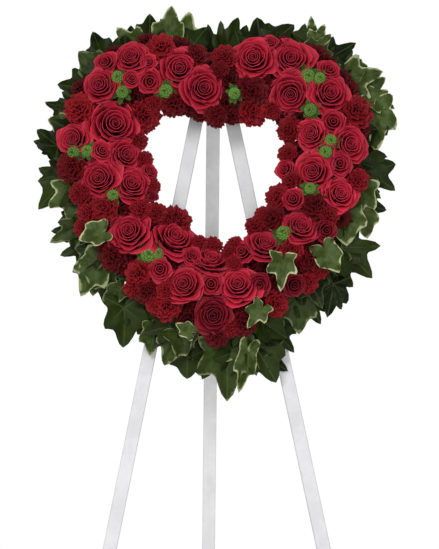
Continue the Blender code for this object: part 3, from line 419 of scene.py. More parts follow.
def makePlainMaterial(name, looks):
    # mottled surface with a fine grain: foam, moulded plastic, stems, plated wire
    material, tree, shader = newMaterial(name, looks["constants"])
    place = objectPlace(tree)
    cloud = mottle(tree, place, looks["scale"], looks["dark"], looks["light"])
    tree.links.new(cloud["Colour"], shader.inputs["Base Color"])
    roughnessInto(tree, shader, cloud["Mask"], *looks["roughness"])
    bumpInto(tree, shader, fibre(tree, place, looks["grain"], 0.7), looks["bump"], looks["bumpDepth"])
    return material


# Painted pine: the grain runs along each slat, and the paint is thinner and greyer in places

wornPaint = 0.50, 0.49, 0.48, 1


def makePaintMaterial(name, tilt, thin, full):
    material, tree, shader = newMaterial(name, {"Specular IOR Level": 0.40, "Coat Roughness": 0.3,
                                                "Coat Weight": 0.08})
    place = objectPlace(tree)
    turned = addNode(tree, "ShaderNodeMapping", {"Vector": place, "Rotation": tilt}).outputs[0]
    cloud = mottle(tree, turned, 14.0, thin, full)["Colour"]
    grain = fibre(tree, turned, (520.0, 520.0, 7.0), 0.65)
    brushed = fade(tree, grain, 0.30, 0.62)
    worn = maths(tree, "MULTIPLY_ADD", brushed, -0.10, 0.10)
    colour = mixColour(tree, worn, cloud, wornPaint)
    tree.links.new(colour, shader.inputs["Base Color"])
    roughnessInto(tree, shader, grain, 0.34, 0.52)
    bumpInto(tree, shader, grain, 0.25, 0.0006)
    return material


# deep is painted shade at the petals' bases, and edge is a painted highlight along their rims
rosePetal = makePetalMaterial("rosePetal", {
    "deep": (0.024, 0.0007, 0.0014, 1), "middle": (0.230, 0.0050, 0.0115, 1),
    "bright": (0.450, 0.0150, 0.0380, 1), "edge": (0.640, 0.0550, 0.1000, 1), "rimHighlightShare": 0.30,
    "veins": (9.0, 1.2, 30.0), "roughness": 0.50})
carnationPetal = makePetalMaterial("carnationPetal", {
    "deep": (0.007, 0.0002, 0.0003, 1), "middle": (0.066, 0.0013, 0.0018, 1),
    "bright": (0.212, 0.0050, 0.0100, 1), "edge": (0.400, 0.0190, 0.0320, 1), "rimHighlightShare": 0.30,
    "veins": (7.0, 1.5, 30.0), "roughness": 0.58})
buttonScale = makePetalMaterial("buttonScale", {
    "deep": (0.010, 0.0300, 0.0035, 1), "middle": (0.048, 0.1150, 0.0150, 1),
    "bright": (0.150, 0.2900, 0.0480, 1), "edge": (0.200, 0.3300, 0.0700, 1), "rimHighlightShare": 0.40,
    "veins": (3.0, 1.5, 30.0), "roughness": 0.55})
ivyLeaf = makeIvyMaterial("ivyLeaf", {
    "dark": (0.0012, 0.0036, 0.0003, 1), "mid": (0.0110, 0.0230, 0.0016, 1),
    "fresh": (0.074, 0.112, 0.017, 1), "greyGreen": (0.120, 0.165, 0.060, 1),
    "vein": (0.062, 0.090, 0.018, 1), "cream": (0.420, 0.450, 0.230, 1)})
greenStem = makePlainMaterial("greenStem", {
    "constants": {"Specular IOR Level": 0.35}, "scale": 90.0, "dark": (0.020, 0.060, 0.010, 1),
    "light": (0.060, 0.130, 0.025, 1), "grain": (300.0, 300.0, 60.0), "roughness": (0.40, 0.55),
    "bump": 0.2, "bumpDepth": 0.0004})
wetFoam = makePlainMaterial("wetFoam", {
    "constants": {"Specular IOR Level": 0.20}, "scale": 120.0, "dark": (0.010, 0.034, 0.012, 1),
    "light": (0.032, 0.085, 0.034, 1), "grain": (900.0, 900.0, 900.0), "roughness": (0.85, 0.98),
    "bump": 0.8, "bumpDepth": 0.0012})
trayPlastic = makePlainMaterial("trayPlastic", {
    "constants": {"Specular IOR Level": 0.45}, "scale": 25.0, "dark": (0.010, 0.045, 0.016, 1),
    "light": (0.016, 0.062, 0.024, 1), "grain": (700.0, 700.0, 700.0), "roughness": (0.38, 0.52),
    "bump": 0.12, "bumpDepth": 0.0003})
platedSteel = makePlainMaterial("platedSteel", {
    "constants": {"Metallic": 1.0, "Specular IOR Level": 0.5}, "scale": 60.0,
    "dark": (0.42, 0.42, 0.43, 1), "light": (0.62, 0.62, 0.63, 1), "grain": (1500.0, 60.0, 1500.0),
    "roughness": (0.26, 0.42), "bump": 0.15, "bumpDepth": 0.0002})
slatTilt = math.radians(11.4)
# painted light: the rear leg and head block take a lighter copy of the one white paint, making up for the
# less light that reaches them
frontPaint = (0.62, 0.62, 0.64, 1), (0.70, 0.70, 0.71, 1)
rearPaintLightened = (0.76, 0.76, 0.77, 1), (0.86, 0.86, 0.86, 1)
paintLeft = makePaintMaterial("paintLeft", (frameSizes["lean"], slatTilt, 0.0), *frontPaint)
paintRight = makePaintMaterial("paintRight", (frameSizes["lean"], -slatTilt, 0.0), *frontPaint)
paintRearLightened = makePaintMaterial("paintRearLightened", (math.radians(-18.0), 0.0, 0.0), *rearPaintLightened)
print("materials made")


# Mesh helpers

sheetThickness = 0.0007
pieceMaterials = [rosePetal, carnationPetal, buttonScale, ivyLeaf, greenStem]
petalNumbers = {"rose": 0, "spray": 0, "carnation": 1, "filler": 1, "button": 2}
leafNumber = 3
stemNumber = 4
surfaceMarks = ["across", "rim", "shade", "edge", "veinGap", "tone", "cream"]


def startMesh():
    bm = bmesh.new()
    for name in surfaceMarks:
        bm.verts.layers.float.new(name)
    return bm


def meshOf(name, bm):
    mesh = bpy.data.meshes.new(name)
    bm.to_mesh(mesh)
    bm.free()
    return mesh


def putInScene(name, data):
    thing = bpy.data.objects.new(name, data)
    bpy.context.scene.collection.objects.link(thing)
    return thing


def hangPiece(name, data):
    # the whole wreath moves with the front frame
    piece = putInScene(name, data)
    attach(piece, body)
    return piece


def paintFaces(verts, material):
    for face in {face for vert in verts for face in vert.link_faces}:
        face.material_index = material
        face.smooth = True


def sheetOf(bm, columns, rows, material, shape, marks):
    # a grid whose points are placed by shape(u, v), u from -1 to 1 across and v from 0 to 1 along
    made = bmesh.ops.create_grid(bm, x_segments=columns, y_segments=rows, size=1.0)["verts"]
    layers = {name: bm.verts.layers.float[name] for name in surfaceMarks}
    for vert in made:
        u, v = vert.co.x, (vert.co.y + 1) / 2
        for name, value in marks(u, v).items():
            vert[layers[name]] = value
        vert.co = shape(u, v)
    paintFaces(made, material)
    return made


# painted shade written into every solid's marks; only the rose's heart reads them, which darkens it as shade
# in the cup
solidPaintedShade = 0.45


def stemOf(bm, start, end, radius, endRadius, sides=6, material=stemNumber):
    along = end - start
    made = bmesh.ops.create_cone(bm, cap_ends=True, segments=sides, radius1=radius, radius2=endRadius,
                                 depth=along.length)["verts"]
    turn = along.to_track_quat("Z", "Y").to_matrix().to_4x4()
    bmesh.ops.transform(bm, matrix=Matrix.Translation((start + end) / 2) @ turn, verts=made)
    for name in ("shade", "rim"):
        for vert in made:
            vert[bm.verts.layers.float[name]] = solidPaintedShade
    paintFaces(made, material)


def thicken(bm, thickness):
    # gives each sheet a back, and a wall round its rim; fresh normals, or the backs can fly off
    bm.normal_update()
    everything = bm.verts[:] + bm.edges[:] + bm.faces[:]
    made = bmesh.ops.extrude_face_region(bm, geom=everything, use_keep_orig=True)["geom"]
    for vert in made:
        if isinstance(vert, bmesh.types.BMVert):
            vert.co -= vert.normal * thickness
    bmesh.ops.recalc_face_normals(bm, faces=bm.faces[:])


def finishPiece(name, sheets, solids=None):
    # thickens the sheets, adds the solid parts, and hangs the piece on the front frame
    thicken(sheets, sheetThickness)
    if solids:
        held = meshOf(name + "_stems", solids)
        sheets.from_mesh(held)
        bpy.data.meshes.remove(held)
    mesh = meshOf(name, sheets)
    for material in pieceMaterials:
        mesh.materials.append(material)
    mesh.set_sharp_from_angle(angle=math.radians(55))
    return hangPiece(name, mesh)


# Blooms

bloomSizes = {"fullness": 1.12, "crown": 0.086, "crownFall": 0.026, "crownReach": 0.080, "lean": 0.14,
              "footOut": 0.024, "rootDepth": 0.030, "shades": (0.84, 1.04), "darkShade": 0.52,
              "brightShade": 1.14}


class Bloom:
    # one flower, button or front leaf: its place, the way that it faces, and its own axes,
    # in which its radius is 1 and +Z comes out of its face
    def __init__(self, kind, entry, draw, sunk=0.0):
        self.kind = kind
        self.place = Vector((entry[0] * mm, entry[1] * mm))
        self.radius = entry[2] * mm * bloomSizes["fullness"]
        self.tip = math.radians(entry[3]) if len(entry) > 3 else 0.0
        index, out = nearestOnHeart(self.place)
        middle = heart[index]
        outward = (self.place - middle).normalized() if abs(out) > 0.002 else Vector((0, 1))
        fall = min(abs(out) / bloomSizes["crownReach"], 1.0)
        self.crown = bloomSizes["crown"] - bloomSizes["crownFall"] * fall ** 2 - sunk
        self.top = wreathPoint(self.place.x, self.place.y, self.crown)
        slope = 2 * bloomSizes["crownFall"] * fall / bloomSizes["crownReach"]
        lean = bloomSizes["lean"]
        facing = Vector((outward.x * slope, outward.y * slope, 1.0))
        facing += Vector((draw.uniform(-lean, lean), draw.uniform(-lean, lean), 0.0))
        facing += Vector((*turnedBlooms.get(entry[:2], (0.0, 0.0)), 0.0))
        self.foot = middle + outward * min(abs(out), bloomSizes["footOut"])
        turn = draw.uniform(0, 2 * math.pi)
        self.shade = draw.uniform(*bloomSizes["shades"])
        if entry[:2] in darkBlooms:
            self.shade *= bloomSizes["darkShade"]
        elif entry[:2] in brightBlooms:
            self.shade *= bloomSizes["brightShade"]
        axis = wreathTurn(facing.normalized())
        self.axes = axis.to_track_quat("Z", "Y").to_matrix() @ Matrix.Rotation(turn, 3, "Z")

    def world(self, local):
        return self.top + self.axes @ (local * self.radius)

    def onAxis(self, height):
        return self.world(Vector((0, 0, height)))


def spokeAt(angle):
    # the ways outwards and sideways, in a bloom's own axes
    return Vector((math.cos(angle), math.sin(angle), 0)), Vector((-math.sin(angle), math.cos(angle), 0))


def petalMarks(shade, low=0.0, rise=1.0):
    # what the petal material reads at each point
    return lambda u, v: {"across": u, "rim": low + rise * v, "shade": shade}


def plantStem(solids, bloom, end, radius, endRadius, rootDepth=bloomSizes["rootDepth"]):
    root = wreathPoint(bloom.foot.x, bloom.foot.y, rootDepth)
    stemOf(solids, root, end, radius, endRadius)


# Rose: petals in rings from the tight heart outwards. Each ring: petals, rim radius, rim height,
# how far a petal wraps in degrees, how far its rim rolls back, and how pointed its rim is
roseRings = [
    (1, 0.075, -0.050, 150, 0.00, 0.00), (2, 0.130, -0.025, 112, 0.01, 0.00),
    (3, 0.215, 0.000, 86, 0.02, 0.00), (3, 0.325, 0.015, 80, 0.03, 0.01),
    (4, 0.450, -0.005, 66, 0.05, 0.02), (4, 0.590, -0.060, 64, 0.09, 0.04),
    (5, 0.760, -0.170, 54, 0.13, 0.07), (4, 0.880, -0.300, 60, 0.16, 0.09)
]
sprayRings = [
    (2, 0.16, -0.04, 112, 0.01, 0.00), (3, 0.34, 0.00, 82, 0.04, 0.01),
    (3, 0.56, -0.05, 76, 0.08, 0.03), (4, 0.76, -0.16, 62, 0.12, 0.06), (4, 0.88, -0.30, 60, 0.15, 0.07)
]
roseSizes = {"depth": 0.80, "ringTurn": 1.1, "roundness": 0.20, "overlap": 0.085, "rollFrom": 0.74,
             "pointWidth": 0.30, "ripple": 0.026, "ripples": 4.6, "innerPaintedShade": 0.30, "heartTop": -0.16,
             "heartRadius": 0.20, "cupOver": 0.03, "cupUnder": 0.16}


def addRose(bm, solids, bloom, draw, rings, columns, rows):
    depth = roseSizes["depth"]
    rollRoom = 1 - roseSizes["rollFrom"]
    turn = 0.0
    for order, (count, rimRadius, rimHeight, wrap, roll, point) in enumerate(rings):
        turn += roseSizes["ringTurn"]
        ripple = roseSizes["ripple"] if order > 2 else 0.0
        # painted shade: the innermost rings are darkened, as they sit deep in the cup
        dim = 1.0 - roseSizes["innerPaintedShade"] * max(0.0, 1 - order / 3)
        for number in range(count):
            angle = turn + 2 * math.pi * number / count + draw.uniform(-0.10, 0.10)
            reach = rimRadius * draw.uniform(0.95, 1.05)
            lift = rimHeight + draw.uniform(-0.015, 0.015)
            halfWrap = math.radians(wrap) * draw.uniform(0.94, 1.06)
            rolled = roll * draw.uniform(0.6, 1.4)
            pointed = point * draw.uniform(0.4, 1.5)
            skew = draw.uniform(-0.45, 0.45)
            wave = draw.uniform(0, 6.28)

            def shape(u, v):
                w = v * (1 - roseSizes["roundness"] * abs(u) ** 2.6)
                cup = 0.16 + 0.84 * math.sin(w * math.pi / 2) ** 0.8
                radius = reach * cup * (1 + roseSizes["overlap"] * u)
                height = -depth + (depth + lift) * w ** 1.25
                over = max(0.0, (w - roseSizes["rollFrom"]) / rollRoom)
                peak = math.exp(-((u - skew) / roseSizes["pointWidth"]) ** 2)
                radius += rolled * over ** 2 * (0.8 + 0.5 * peak) + pointed * over * peak
                height -= rolled * 0.85 * over ** 2.4 + 0.02 * pointed
                height += ripple * over * math.sin(roseSizes["ripples"] * u + wave)
                around = angle + u * halfWrap * (0.60 + 0.40 * math.sqrt(v))
                return bloom.world(Vector((radius * math.cos(around), radius * math.sin(around),
                                           height + 0.012 * u)))

            sheetOf(bm, columns, rows, petalNumbers[bloom.kind], shape, petalMarks(bloom.shade * dim))
    # the closed heart, which fills the cup between the innermost petals; it is coloured dark as painted
    # shade deep in the cup
    stemOf(solids, bloom.onAxis(-depth), bloom.onAxis(roseSizes["heartTop"]),
           bloom.radius * roseSizes["heartRadius"], bloom.radius * 0.03, 10, petalNumbers[bloom.kind])
    addCup(solids, bloom, depth)


def addCup(solids, bloom, depth):
    # the green cup under the petals and the stem that goes down into the foam
    low = bloom.onAxis(-depth - roseSizes["cupUnder"])
    high = bloom.onAxis(-depth + roseSizes["cupOver"])
    stemOf(solids, low, high, bloom.radius * 0.10, bloom.radius * 0.18, 8)
    plantStem(solids, bloom, low, 0.0022, 0.0022)


# Carnation: ruffled, fringed petals from a flat outer ring up to a tuft. Each ring: petals, reach
# and width
carnationRings = [(8, 1.00, 0.74), (7, 0.80, 0.70), (6, 0.58, 0.64), (5, 0.36, 0.56), (3, 0.15, 0.46)]
fillerRings = [(7, 1.00, 0.80), (6, 0.64, 0.72), (4, 0.30, 0.60)]
carnationSizes = {"depth": 0.78, "ringTurn": 0.9, "dome": 0.46, "fringe": 0.040, "notch": 0.015,
                  "fringeFrom": 0.70, "ruffle": (0.10, 0.17), "ruffles": 3.9, "sways": 5.6,
                  "baseWidth": 0.25, "flare": 0.95, "roundness": 0.14}


def addCarnation(bm, solids, bloom, draw, rings, columns, rows):
    sizes = carnationSizes
    depth = sizes["depth"]
    for order, (count, reach, width) in enumerate(rings):
        for number in range(count):
            angle = order * sizes["ringTurn"] + 2 * math.pi * number / count + draw.uniform(-0.15, 0.15)
            out = reach * draw.uniform(0.90, 1.08)
            top = -sizes["dome"] * out ** 2 + draw.uniform(-0.05, 0.05)
            half = width * 0.5 * draw.uniform(0.9, 1.15)
            wave = draw.uniform(0, 6.28)
            ruffle = draw.uniform(*sizes["ruffle"])
            radial, side = spokeAt(angle)

            def shape(u, v):
                tooth = sizes["fringe"] if round((u + 1) * 4) % 2 else -sizes["notch"]
                w = v * (1 - sizes["roundness"] * u * u)
                w += tooth * (v - 0.66) * 3 if v > sizes["fringeFrom"] else 0
                # a bent line from the cup, past a knee close under the top, out to the rim
                first, second, third = (1 - w) ** 2, 2 * (1 - w) * w, w * w
                radius = second * out * 0.34 + third * out
                height = first * -depth + second * (top - 0.10) + third * top
                frill = ruffle * v ** 1.5 * math.sin(sizes["ruffles"] * u + wave)
                sway = 0.5 * ruffle * v * math.cos(sizes["sways"] * u + wave)
                place = radial * (radius + sway)
                place += side * (u * half * (sizes["baseWidth"] + sizes["flare"] * v))
                place += Vector((0, 0, height + frill * (0.4 + 0.6 * out)))
                place += radial * frill * (1 - out) * 1.1
                return bloom.world(place)

            sheetOf(bm, columns, rows, petalNumbers[bloom.kind], shape, petalMarks(bloom.shade))
    addCup(solids, bloom, depth)


# Green button: small scales over a dome, on the golden angle, above a collar of pointed leaves
buttonSizes = {"scales": 64, "scaleLength": 0.42, "scaleWidth": 0.24, "dome": 0.80, "cover": 1.25,
               "sepals": 8, "sepalLength": (0.9, 1.6), "sepalWidth": 0.44, "sepalTurn": 0.79,
               "sepalDrop": 1.05, "stemTop": -1.4, "stemRadius": 0.0018}


def addSepal(bm, bloom, angle, length):
    radial, side = spokeAt(angle)

    def shape(u, v):
        width = buttonSizes["sepalWidth"] * math.sin(math.pi * (0.12 + 0.84 * v)) ** 0.8
        height = -buttonSizes["sepalDrop"] + 0.50 * v - 0.50 * v * v + 0.12 * abs(u)
        return bloom.world(radial * (0.45 + length * v) + side * (u * width) + Vector((0, 0, height)))

    sheetOf(bm, 3, 5, petalNumbers["button"], shape, petalMarks(bloom.shade * 0.9, 0.30, 0.40))


def addButton(bm, solids, bloom, draw):
    golden = math.pi * (3 - math.sqrt(5))
    dome = buttonSizes["dome"]
    for number in range(buttonSizes["scales"]):
        share = (number + 0.5) / buttonSizes["scales"]
        angle = number * golden
        tilt = math.acos(1 - buttonSizes["cover"] * share)
        radial = spokeAt(angle)[0]
        normal = radial * math.sin(tilt) + Vector((0, 0, math.cos(tilt)))
        along = radial * math.cos(tilt) - Vector((0, 0, math.sin(tilt)))
        side = normal.cross(along)
        length = buttonSizes["scaleLength"] * draw.uniform(0.8, 1.2)

        def shape(u, v):
            bulge = 0.25 + 1.1 * math.sin(min(v * 1.15, 1.0) * math.pi) ** 0.7
            lifted = dome + 0.16 * v * v - 0.05 * u * u
            return bloom.world(Vector((0, 0, -dome)) + normal * lifted + along * (length * (v - 0.45))
                               + side * (u * (buttonSizes["scaleWidth"] * bulge)))

        sheetOf(bm, 2, 2, petalNumbers[bloom.kind], shape, petalMarks(bloom.shade, 0.35, 0.65))
    for number in range(buttonSizes["sepals"]):
        addSepal(bm, bloom, number * buttonSizes["sepalTurn"] + draw.uniform(-0.4, 0.4),
                 draw.uniform(*buttonSizes["sepalLength"]))
    core = bmesh.ops.create_icosphere(solids, subdivisions=2, radius=bloom.radius * dome)["verts"]
    bmesh.ops.translate(solids, vec=bloom.onAxis(-0.82), verts=core)
    paintFaces(core, stemNumber)
    plantStem(solids, bloom, bloom.onAxis(buttonSizes["stemTop"]), buttonSizes["stemRadius"],
              buttonSizes["stemRadius"])


# Ivy leaf: five lobes round the point where its stalk joins, as angle from the tip and reach
leafLobes = [(0, 1.00), (9, 0.90), (18, 0.77), (29, 0.65), (40, 0.70), (51, 0.82), (62, 0.73),
             (78, 0.55), (90, 0.52), (102, 0.59), (115, 0.63), (132, 0.52), (152, 0.33), (170, 0.15),
             (180, 0.05)]
leafSizes = {"veins": (0, 51, 115), "fold": (0.16, 0.40), "droop": (0.05, 0.35), "ruffle": (0.03, 0.07),
             "notch": (-0.06, 0.10), "bias": (-0.08, 0.08), "halfWidth": 0.62, "lowest": 0.004}
mainGrid, underGrid, innerGrid = (44, 5), (36, 3), (28, 3)


def lobeReach(degrees, deep):
    # deep above 0 draws the notches between the lobes further in
    degrees = abs(degrees)
    for (low, first), (high, second) in zip(leafLobes, leafLobes[1:]):
        if degrees <= high:
            reach = first + (second - first) * (degrees - low) / (high - low)
            return reach * (1 + deep * math.cos(math.radians(degrees * 6.6)))
    return leafLobes[-1][1]


def addLeaf(bm, placeOf, draw, cream, tone, grid):
    # placeOf(x, y, z) takes leaf lengths: across, towards the tip, and off its face
    fold = draw.uniform(*leafSizes["fold"])
    droop = draw.uniform(*leafSizes["droop"])
    wave = draw.uniform(0, 6.28)
    ruffle = draw.uniform(*leafSizes["ruffle"])
    deep = draw.uniform(*leafSizes["notch"])
    bias = draw.uniform(*leafSizes["bias"])

    def polar(u, v):
        degrees = 180 * u
        reach = lobeReach(degrees, deep) * v * (1 + bias * math.sin(math.radians(degrees)))
        return degrees, reach

    def shape(u, v):
        degrees, reach = polar(u, v)
        angle = math.radians(degrees)
        x = reach * math.sin(angle)
        y = reach * math.cos(angle)
        z = fold * abs(x) * 0.9 - droop * max(y, 0) ** 2 - 0.10 * x * x
        z += ruffle * v * v * math.sin(angle * 7 + wave)
        return placeOf(x, y, z)

    def marks(u, v):
        degrees, reach = polar(u, v)
        gap = min(abs(abs(degrees) - vein) for vein in leafSizes["veins"])
        return {"edge": v, "veinGap": math.radians(gap) * reach, "tone": tone, "cream": cream}

    # the grid's sides meet behind the stalk and its first row is one point
    made = sheetOf(bm, *grid, leafNumber, shape, marks)
    bmesh.ops.remove_doubles(bm, verts=made, dist=1e-6)


def flatLeafPlace(base, angle, length, halfWidth, depth, pitch, roll):
    # a leaf near the wreath's plane: its tip turns back by pitch, and it rolls about its midrib
    along = Vector((math.cos(angle), math.sin(angle), 0))
    side = Vector((along.y, -along.x, 0))
    out = Vector((0, 0, 1))
    turn = Matrix.Rotation(pitch, 3, side) @ Matrix.Rotation(roll, 3, along)
    along, side, out = turn @ along, turn @ side, turn @ out
    start = Vector((base.x, base.y, depth))
    widen = halfWidth / leafSizes["halfWidth"]

    def placeOf(x, y, z):
        spot = start + along * (y * length) + side * (x * widen) + out * (z * length)
        return wreathPoint(spot.x, spot.y, max(spot.z, leafSizes["lowest"]))

    return placeOf


# Small carnations sunk into the widest gaps, darkened as painted shade between the blooms
fillSizes = {"least": 0.0015, "most": 110, "grow": 0.0120, "smallest": 12, "largest": 19, "sunk": 0.013,
             "shade": 0.40, "inner": -84, "outer": 58, "step": 6, "edgeRoom": 0.009,
             "overEdge": 0.004, "pressed": 0.88}


def roomFromHole(spot):
    # how far a place lies outside the open middle, below 0 inside it
    nearest = 1.0
    inside = False
    for index, end in enumerate(holeEdge):
        low, high = Vector(holeEdge[index - 1]) * mm, Vector(end) * mm
        run = high - low
        share = min(max((spot - low).dot(run) / run.length_squared, 0.0), 1.0)
        nearest = min(nearest, (spot - low - run * share).length)
        if (low.y > spot.y) != (high.y > spot.y):
            inside ^= spot.x < low.x + run.x * (spot.y - low.y) / run.y
    return -nearest if inside else nearest


def fillPlaces(blooms):
    # the widest gaps between the blooms over the form, one after the other
    circles = [(bloom.place, bloom.radius * fillSizes["pressed"])
               for bloom in blooms if bloom.kind != "leaf"]
    spots = [heart[index] + heartOut[index] * out * mm for index in range(0, len(heart), 2)
             for out in range(fillSizes["inner"], fillSizes["outer"], fillSizes["step"])]
    spots = [spot for spot in spots if roomFromHole(spot) > fillSizes["edgeRoom"]]
    rooms = [min((spot - place).length - radius for place, radius in circles) for spot in spots]
    entries = []
    while max(rooms) > fillSizes["least"] and len(entries) < fillSizes["most"]:
        room = max(rooms)
        spot = spots[rooms.index(room)]
        size = min(max((room + fillSizes["grow"]) / mm, fillSizes["smallest"]), fillSizes["largest"])
        size = min(size, (roomFromHole(spot) + fillSizes["overEdge"]) / mm)
        entries.append((spot.x / mm, spot.y / mm, size))
        rooms = [min(old, (other - spot).length - size * mm * fillSizes["pressed"])
                 for old, other in zip(rooms, spots)]
    return entries


def nodeFinder(names):
    tree = KDTree(sum(len(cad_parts[name].data.vertices) for name in names))
    owners = []
    for name in names:
        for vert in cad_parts[name].data.vertices:
            tree.insert(vert.co, len(owners))
            owners.append(name)
    tree.balance()
    return lambda point: owners[tree.find(point)[1]]


frontLeafSizes = {"length": 1.45, "behind": 0.45, "halfWidth": 0.50, "proud": 0.004, "pitch": 0.22,
                  "cream": 1.0, "tone": 0.5, "rootDepth": 0.034}


def addFrontLeaf(bm, solids, bloom, draw):
    sizes = frontLeafSizes
    length = bloom.radius * sizes["length"]
    tipWay = Vector((math.cos(bloom.tip), math.sin(bloom.tip)))
    placeOf = flatLeafPlace(bloom.place - tipWay * bloom.radius * sizes["behind"], bloom.tip, length,
                            length * sizes["halfWidth"], bloom.crown + sizes["proud"], sizes["pitch"], 0.0)
    addLeaf(bm, placeOf, draw, sizes["cream"], sizes["tone"], mainGrid)
    plantStem(solids, bloom, placeOf(0, 0.02, -0.02), 0.0012, 0.0010, sizes["rootDepth"])


# where each kind stands, what builds it, and its petals' rings and grid, across and along
flowerKinds = {
    "rose": (roses, addRose, roseRings, 8, 6), "spray": (sprayRoses, addRose, sprayRings, 6, 5),
    "carnation": (carnations, addCarnation, carnationRings, 8, 4), "button": (buttons, addButton),
    "leaf": (frontLeaves, addFrontLeaf), "filler": ([], addCarnation, fillerRings, 8, 3)
}


def makeFlowers():
    firstWords = "bunch", "rose", "spray", "carnation"
    names = [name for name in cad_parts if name.split("_")[0] in firstWords]
    ownerOf = nodeFinder(names)
    draw = random.Random(7)
    groups = {name: [] for name in names}
    blooms = [Bloom(kind, entry, draw) for kind, details in flowerKinds.items() for entry in details[0]]
    fill = [Bloom("filler", entry, draw, fillSizes["sunk"]) for entry in fillPlaces(blooms)]
    for bloom in fill:
        # painted shade: the blooms between the others are darkened as if shaded by them
        bloom.shade *= fillSizes["shade"]
    print("blooms:", len(blooms), "and between them:", len(fill))
    for bloom in blooms + fill:
        groups[ownerOf(bloom.onAxis(-0.12))].append(bloom)
    for name in names:
        bm = startMesh()
        solids = startMesh()
        for bloom in groups[name]:
            build, *details = flowerKinds[bloom.kind][1:]
            build(bm, solids, bloom, draw, *details)
        piece = finishPiece(name + "_petals", bm, solids)
        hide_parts(name)
    print("flowers made:", len(names))


makeFlowers()


# Ivy sprays

ivySizes = {"formHalf": 0.036, "vineOut": 0.0085, "vineRadius": 0.0019, "vineDepth": 0.022,
            "vineSway": 0.0015, "stalkRadius": 0.0011, "stalkBend": 0.003, "nearest": 0.012,
            "layer": 0.007, "pitch": (-0.12, 0.16), "roll": (-0.32, 0.32), "tones": (0.0, 0.26),
            "under": 0.008, "underSize": 0.78, "underAside": (0.012, 0.022), "underBack": 0.010,
            "underTurn": (0.10, 0.45), "underHalf": (0.48, 0.60), "underLowest": 0.006, "innerStep": 6,
            "innerOut": 0.046, "innerSize": 0.034, "innerHalf": 0.62, "innerDepth": (0.034, 0.044)}


def wireOf(name, routes, radius):
    curve = bpy.data.curves.new(name, "CURVE")
    curve.dimensions = "3D"
    curve.bevel_depth = radius
    curve.bevel_resolution = 1
    curve.use_fill_caps = True
    for route in routes:
        spline = curve.splines.new("POLY")
        spline.points.add(len(route) - 1)
        for slot, point in zip(spline.points, route):
            slot.co = (*point, 1.0)
    curve.materials.append(greenStem)
    return hangPiece(name, curve)


def wallPoint(index, depth):
    # a place on the vines' line, just outside the form's wall
    at = heart[index] + heartOut[index] * (ivySizes["formHalf"] + ivySizes["vineOut"])
    return wreathPoint(at.x, at.y, depth)


def stalkRoute(index, placeOf, steps=6):
    # bends from the vine's line to the point where the leaf joins
    start, end = wallPoint(index, ivySizes["vineDepth"]), placeOf(0, 0.03, -0.02)
    bend = wreathTurn(Vector((0, 0, ivySizes["stalkBend"])))
    return [start.lerp(end, k / steps) + bend * math.sin(math.pi * k / steps) for k in range(steps + 1)]


def vineOf(places):
    # the woody stem that runs along the form's wall behind its own leaves
    stations = sorted({nearestOnHeart(place)[0] for place in places})
    if stations[-1] - stations[0] > len(heart) / 2:
        stations = sorted(k if k > len(heart) / 2 else k + len(heart) for k in stations)
    return [wallPoint(k % len(heart), ivySizes["vineDepth"] + ivySizes["vineSway"] * math.sin(k * 0.9))
            for k in range(stations[0] - 1, stations[-1] + 2)]


def leafFromPhoto(entry):
    # gives the base, length and tip angle to the millimetre and the degree, and what else the entry says
    baseX, baseY, tipX, tipY, span, layer, *cream = entry
    depth = ivySizes["nearest"] + ivySizes["layer"] * layer
    base = fromPhoto(baseX, baseY, depth)
    run = fromPhoto(tipX, tipY, depth) - base
    degrees = round(math.degrees(math.atan2(run.y, run.x)) % 360)
    return (round(base.x / mm), round(base.y / mm), round(run.length / mm), degrees, span, layer,
            cream[0] if cream else 0.0)


def allLeaves():
    leaves = [leafFromPhoto(entry) for entry in ivyLeaves]
    for index, entry in setLeaves.items():
        leaves.insert(index, entry)
    return leaves


def addLeafPair(bm, entry, draw):
    # a main leaf and a smaller one under it; gives the route of each one's stalk
    across, up, length, degrees, span, layer, cream = entry
    base = Vector((across * mm, up * mm))
    index = nearestOnHeart(base)[0]
    along = Vector((-heartOut[index].y, heartOut[index].x))
    angle = math.radians(degrees)
    depth = ivySizes["nearest"] + ivySizes["layer"] * layer
    size = length * mm
    main = flatLeafPlace(base, angle, size, size * span, depth, draw.uniform(*ivySizes["pitch"]),
                         draw.uniform(*ivySizes["roll"]))
    tone = 0.22 + 0.36 * cream if cream > 0.15 else draw.uniform(*ivySizes["tones"])
    addLeaf(bm, main, draw, cream, tone, mainGrid)
    side = draw.choice((-1, 1))
    aside = along * side * draw.uniform(*ivySizes["underAside"])
    base = base + aside - heartOut[index] * ivySizes["underBack"]
    size = size * ivySizes["underSize"] * draw.uniform(0.85, 1.05)
    depth = max(depth - ivySizes["under"], ivySizes["underLowest"])
    under = flatLeafPlace(base, angle + side * draw.uniform(*ivySizes["underTurn"]), size,
                          size * draw.uniform(*ivySizes["underHalf"]), depth,
                          draw.uniform(-0.05, 0.25), draw.uniform(-0.3, 0.3))
    # painted shade: the under leaf takes a darker tone than the main leaf, as it lies in the main leaf's
    # shade
    addLeaf(bm, under, draw, draw.choice((0.0, 0.0, 0.0, 0.2)), draw.uniform(0.0, 0.15), underGrid)
    return [stalkRoute(index, placeOf) for placeOf in (main, under)]


def addInnerLeaf(bm, index, draw):
    # plain leaves close to the form hide its wall; gives the route of the stalk
    out = heartOut[index]
    size = ivySizes["innerSize"] * draw.uniform(0.85, 1.15)
    angle = math.atan2(out.y, out.x) + draw.uniform(-0.7, 0.7)
    placeOf = flatLeafPlace(heart[index] + out * ivySizes["innerOut"], angle, size,
                            size * ivySizes["innerHalf"], draw.uniform(*ivySizes["innerDepth"]),
                            draw.uniform(-0.1, 0.4), draw.uniform(-0.3, 0.3))
    addLeaf(bm, placeOf, draw, 0.0, draw.uniform(0.0, 0.10), innerGrid)
    return stalkRoute(index, placeOf)


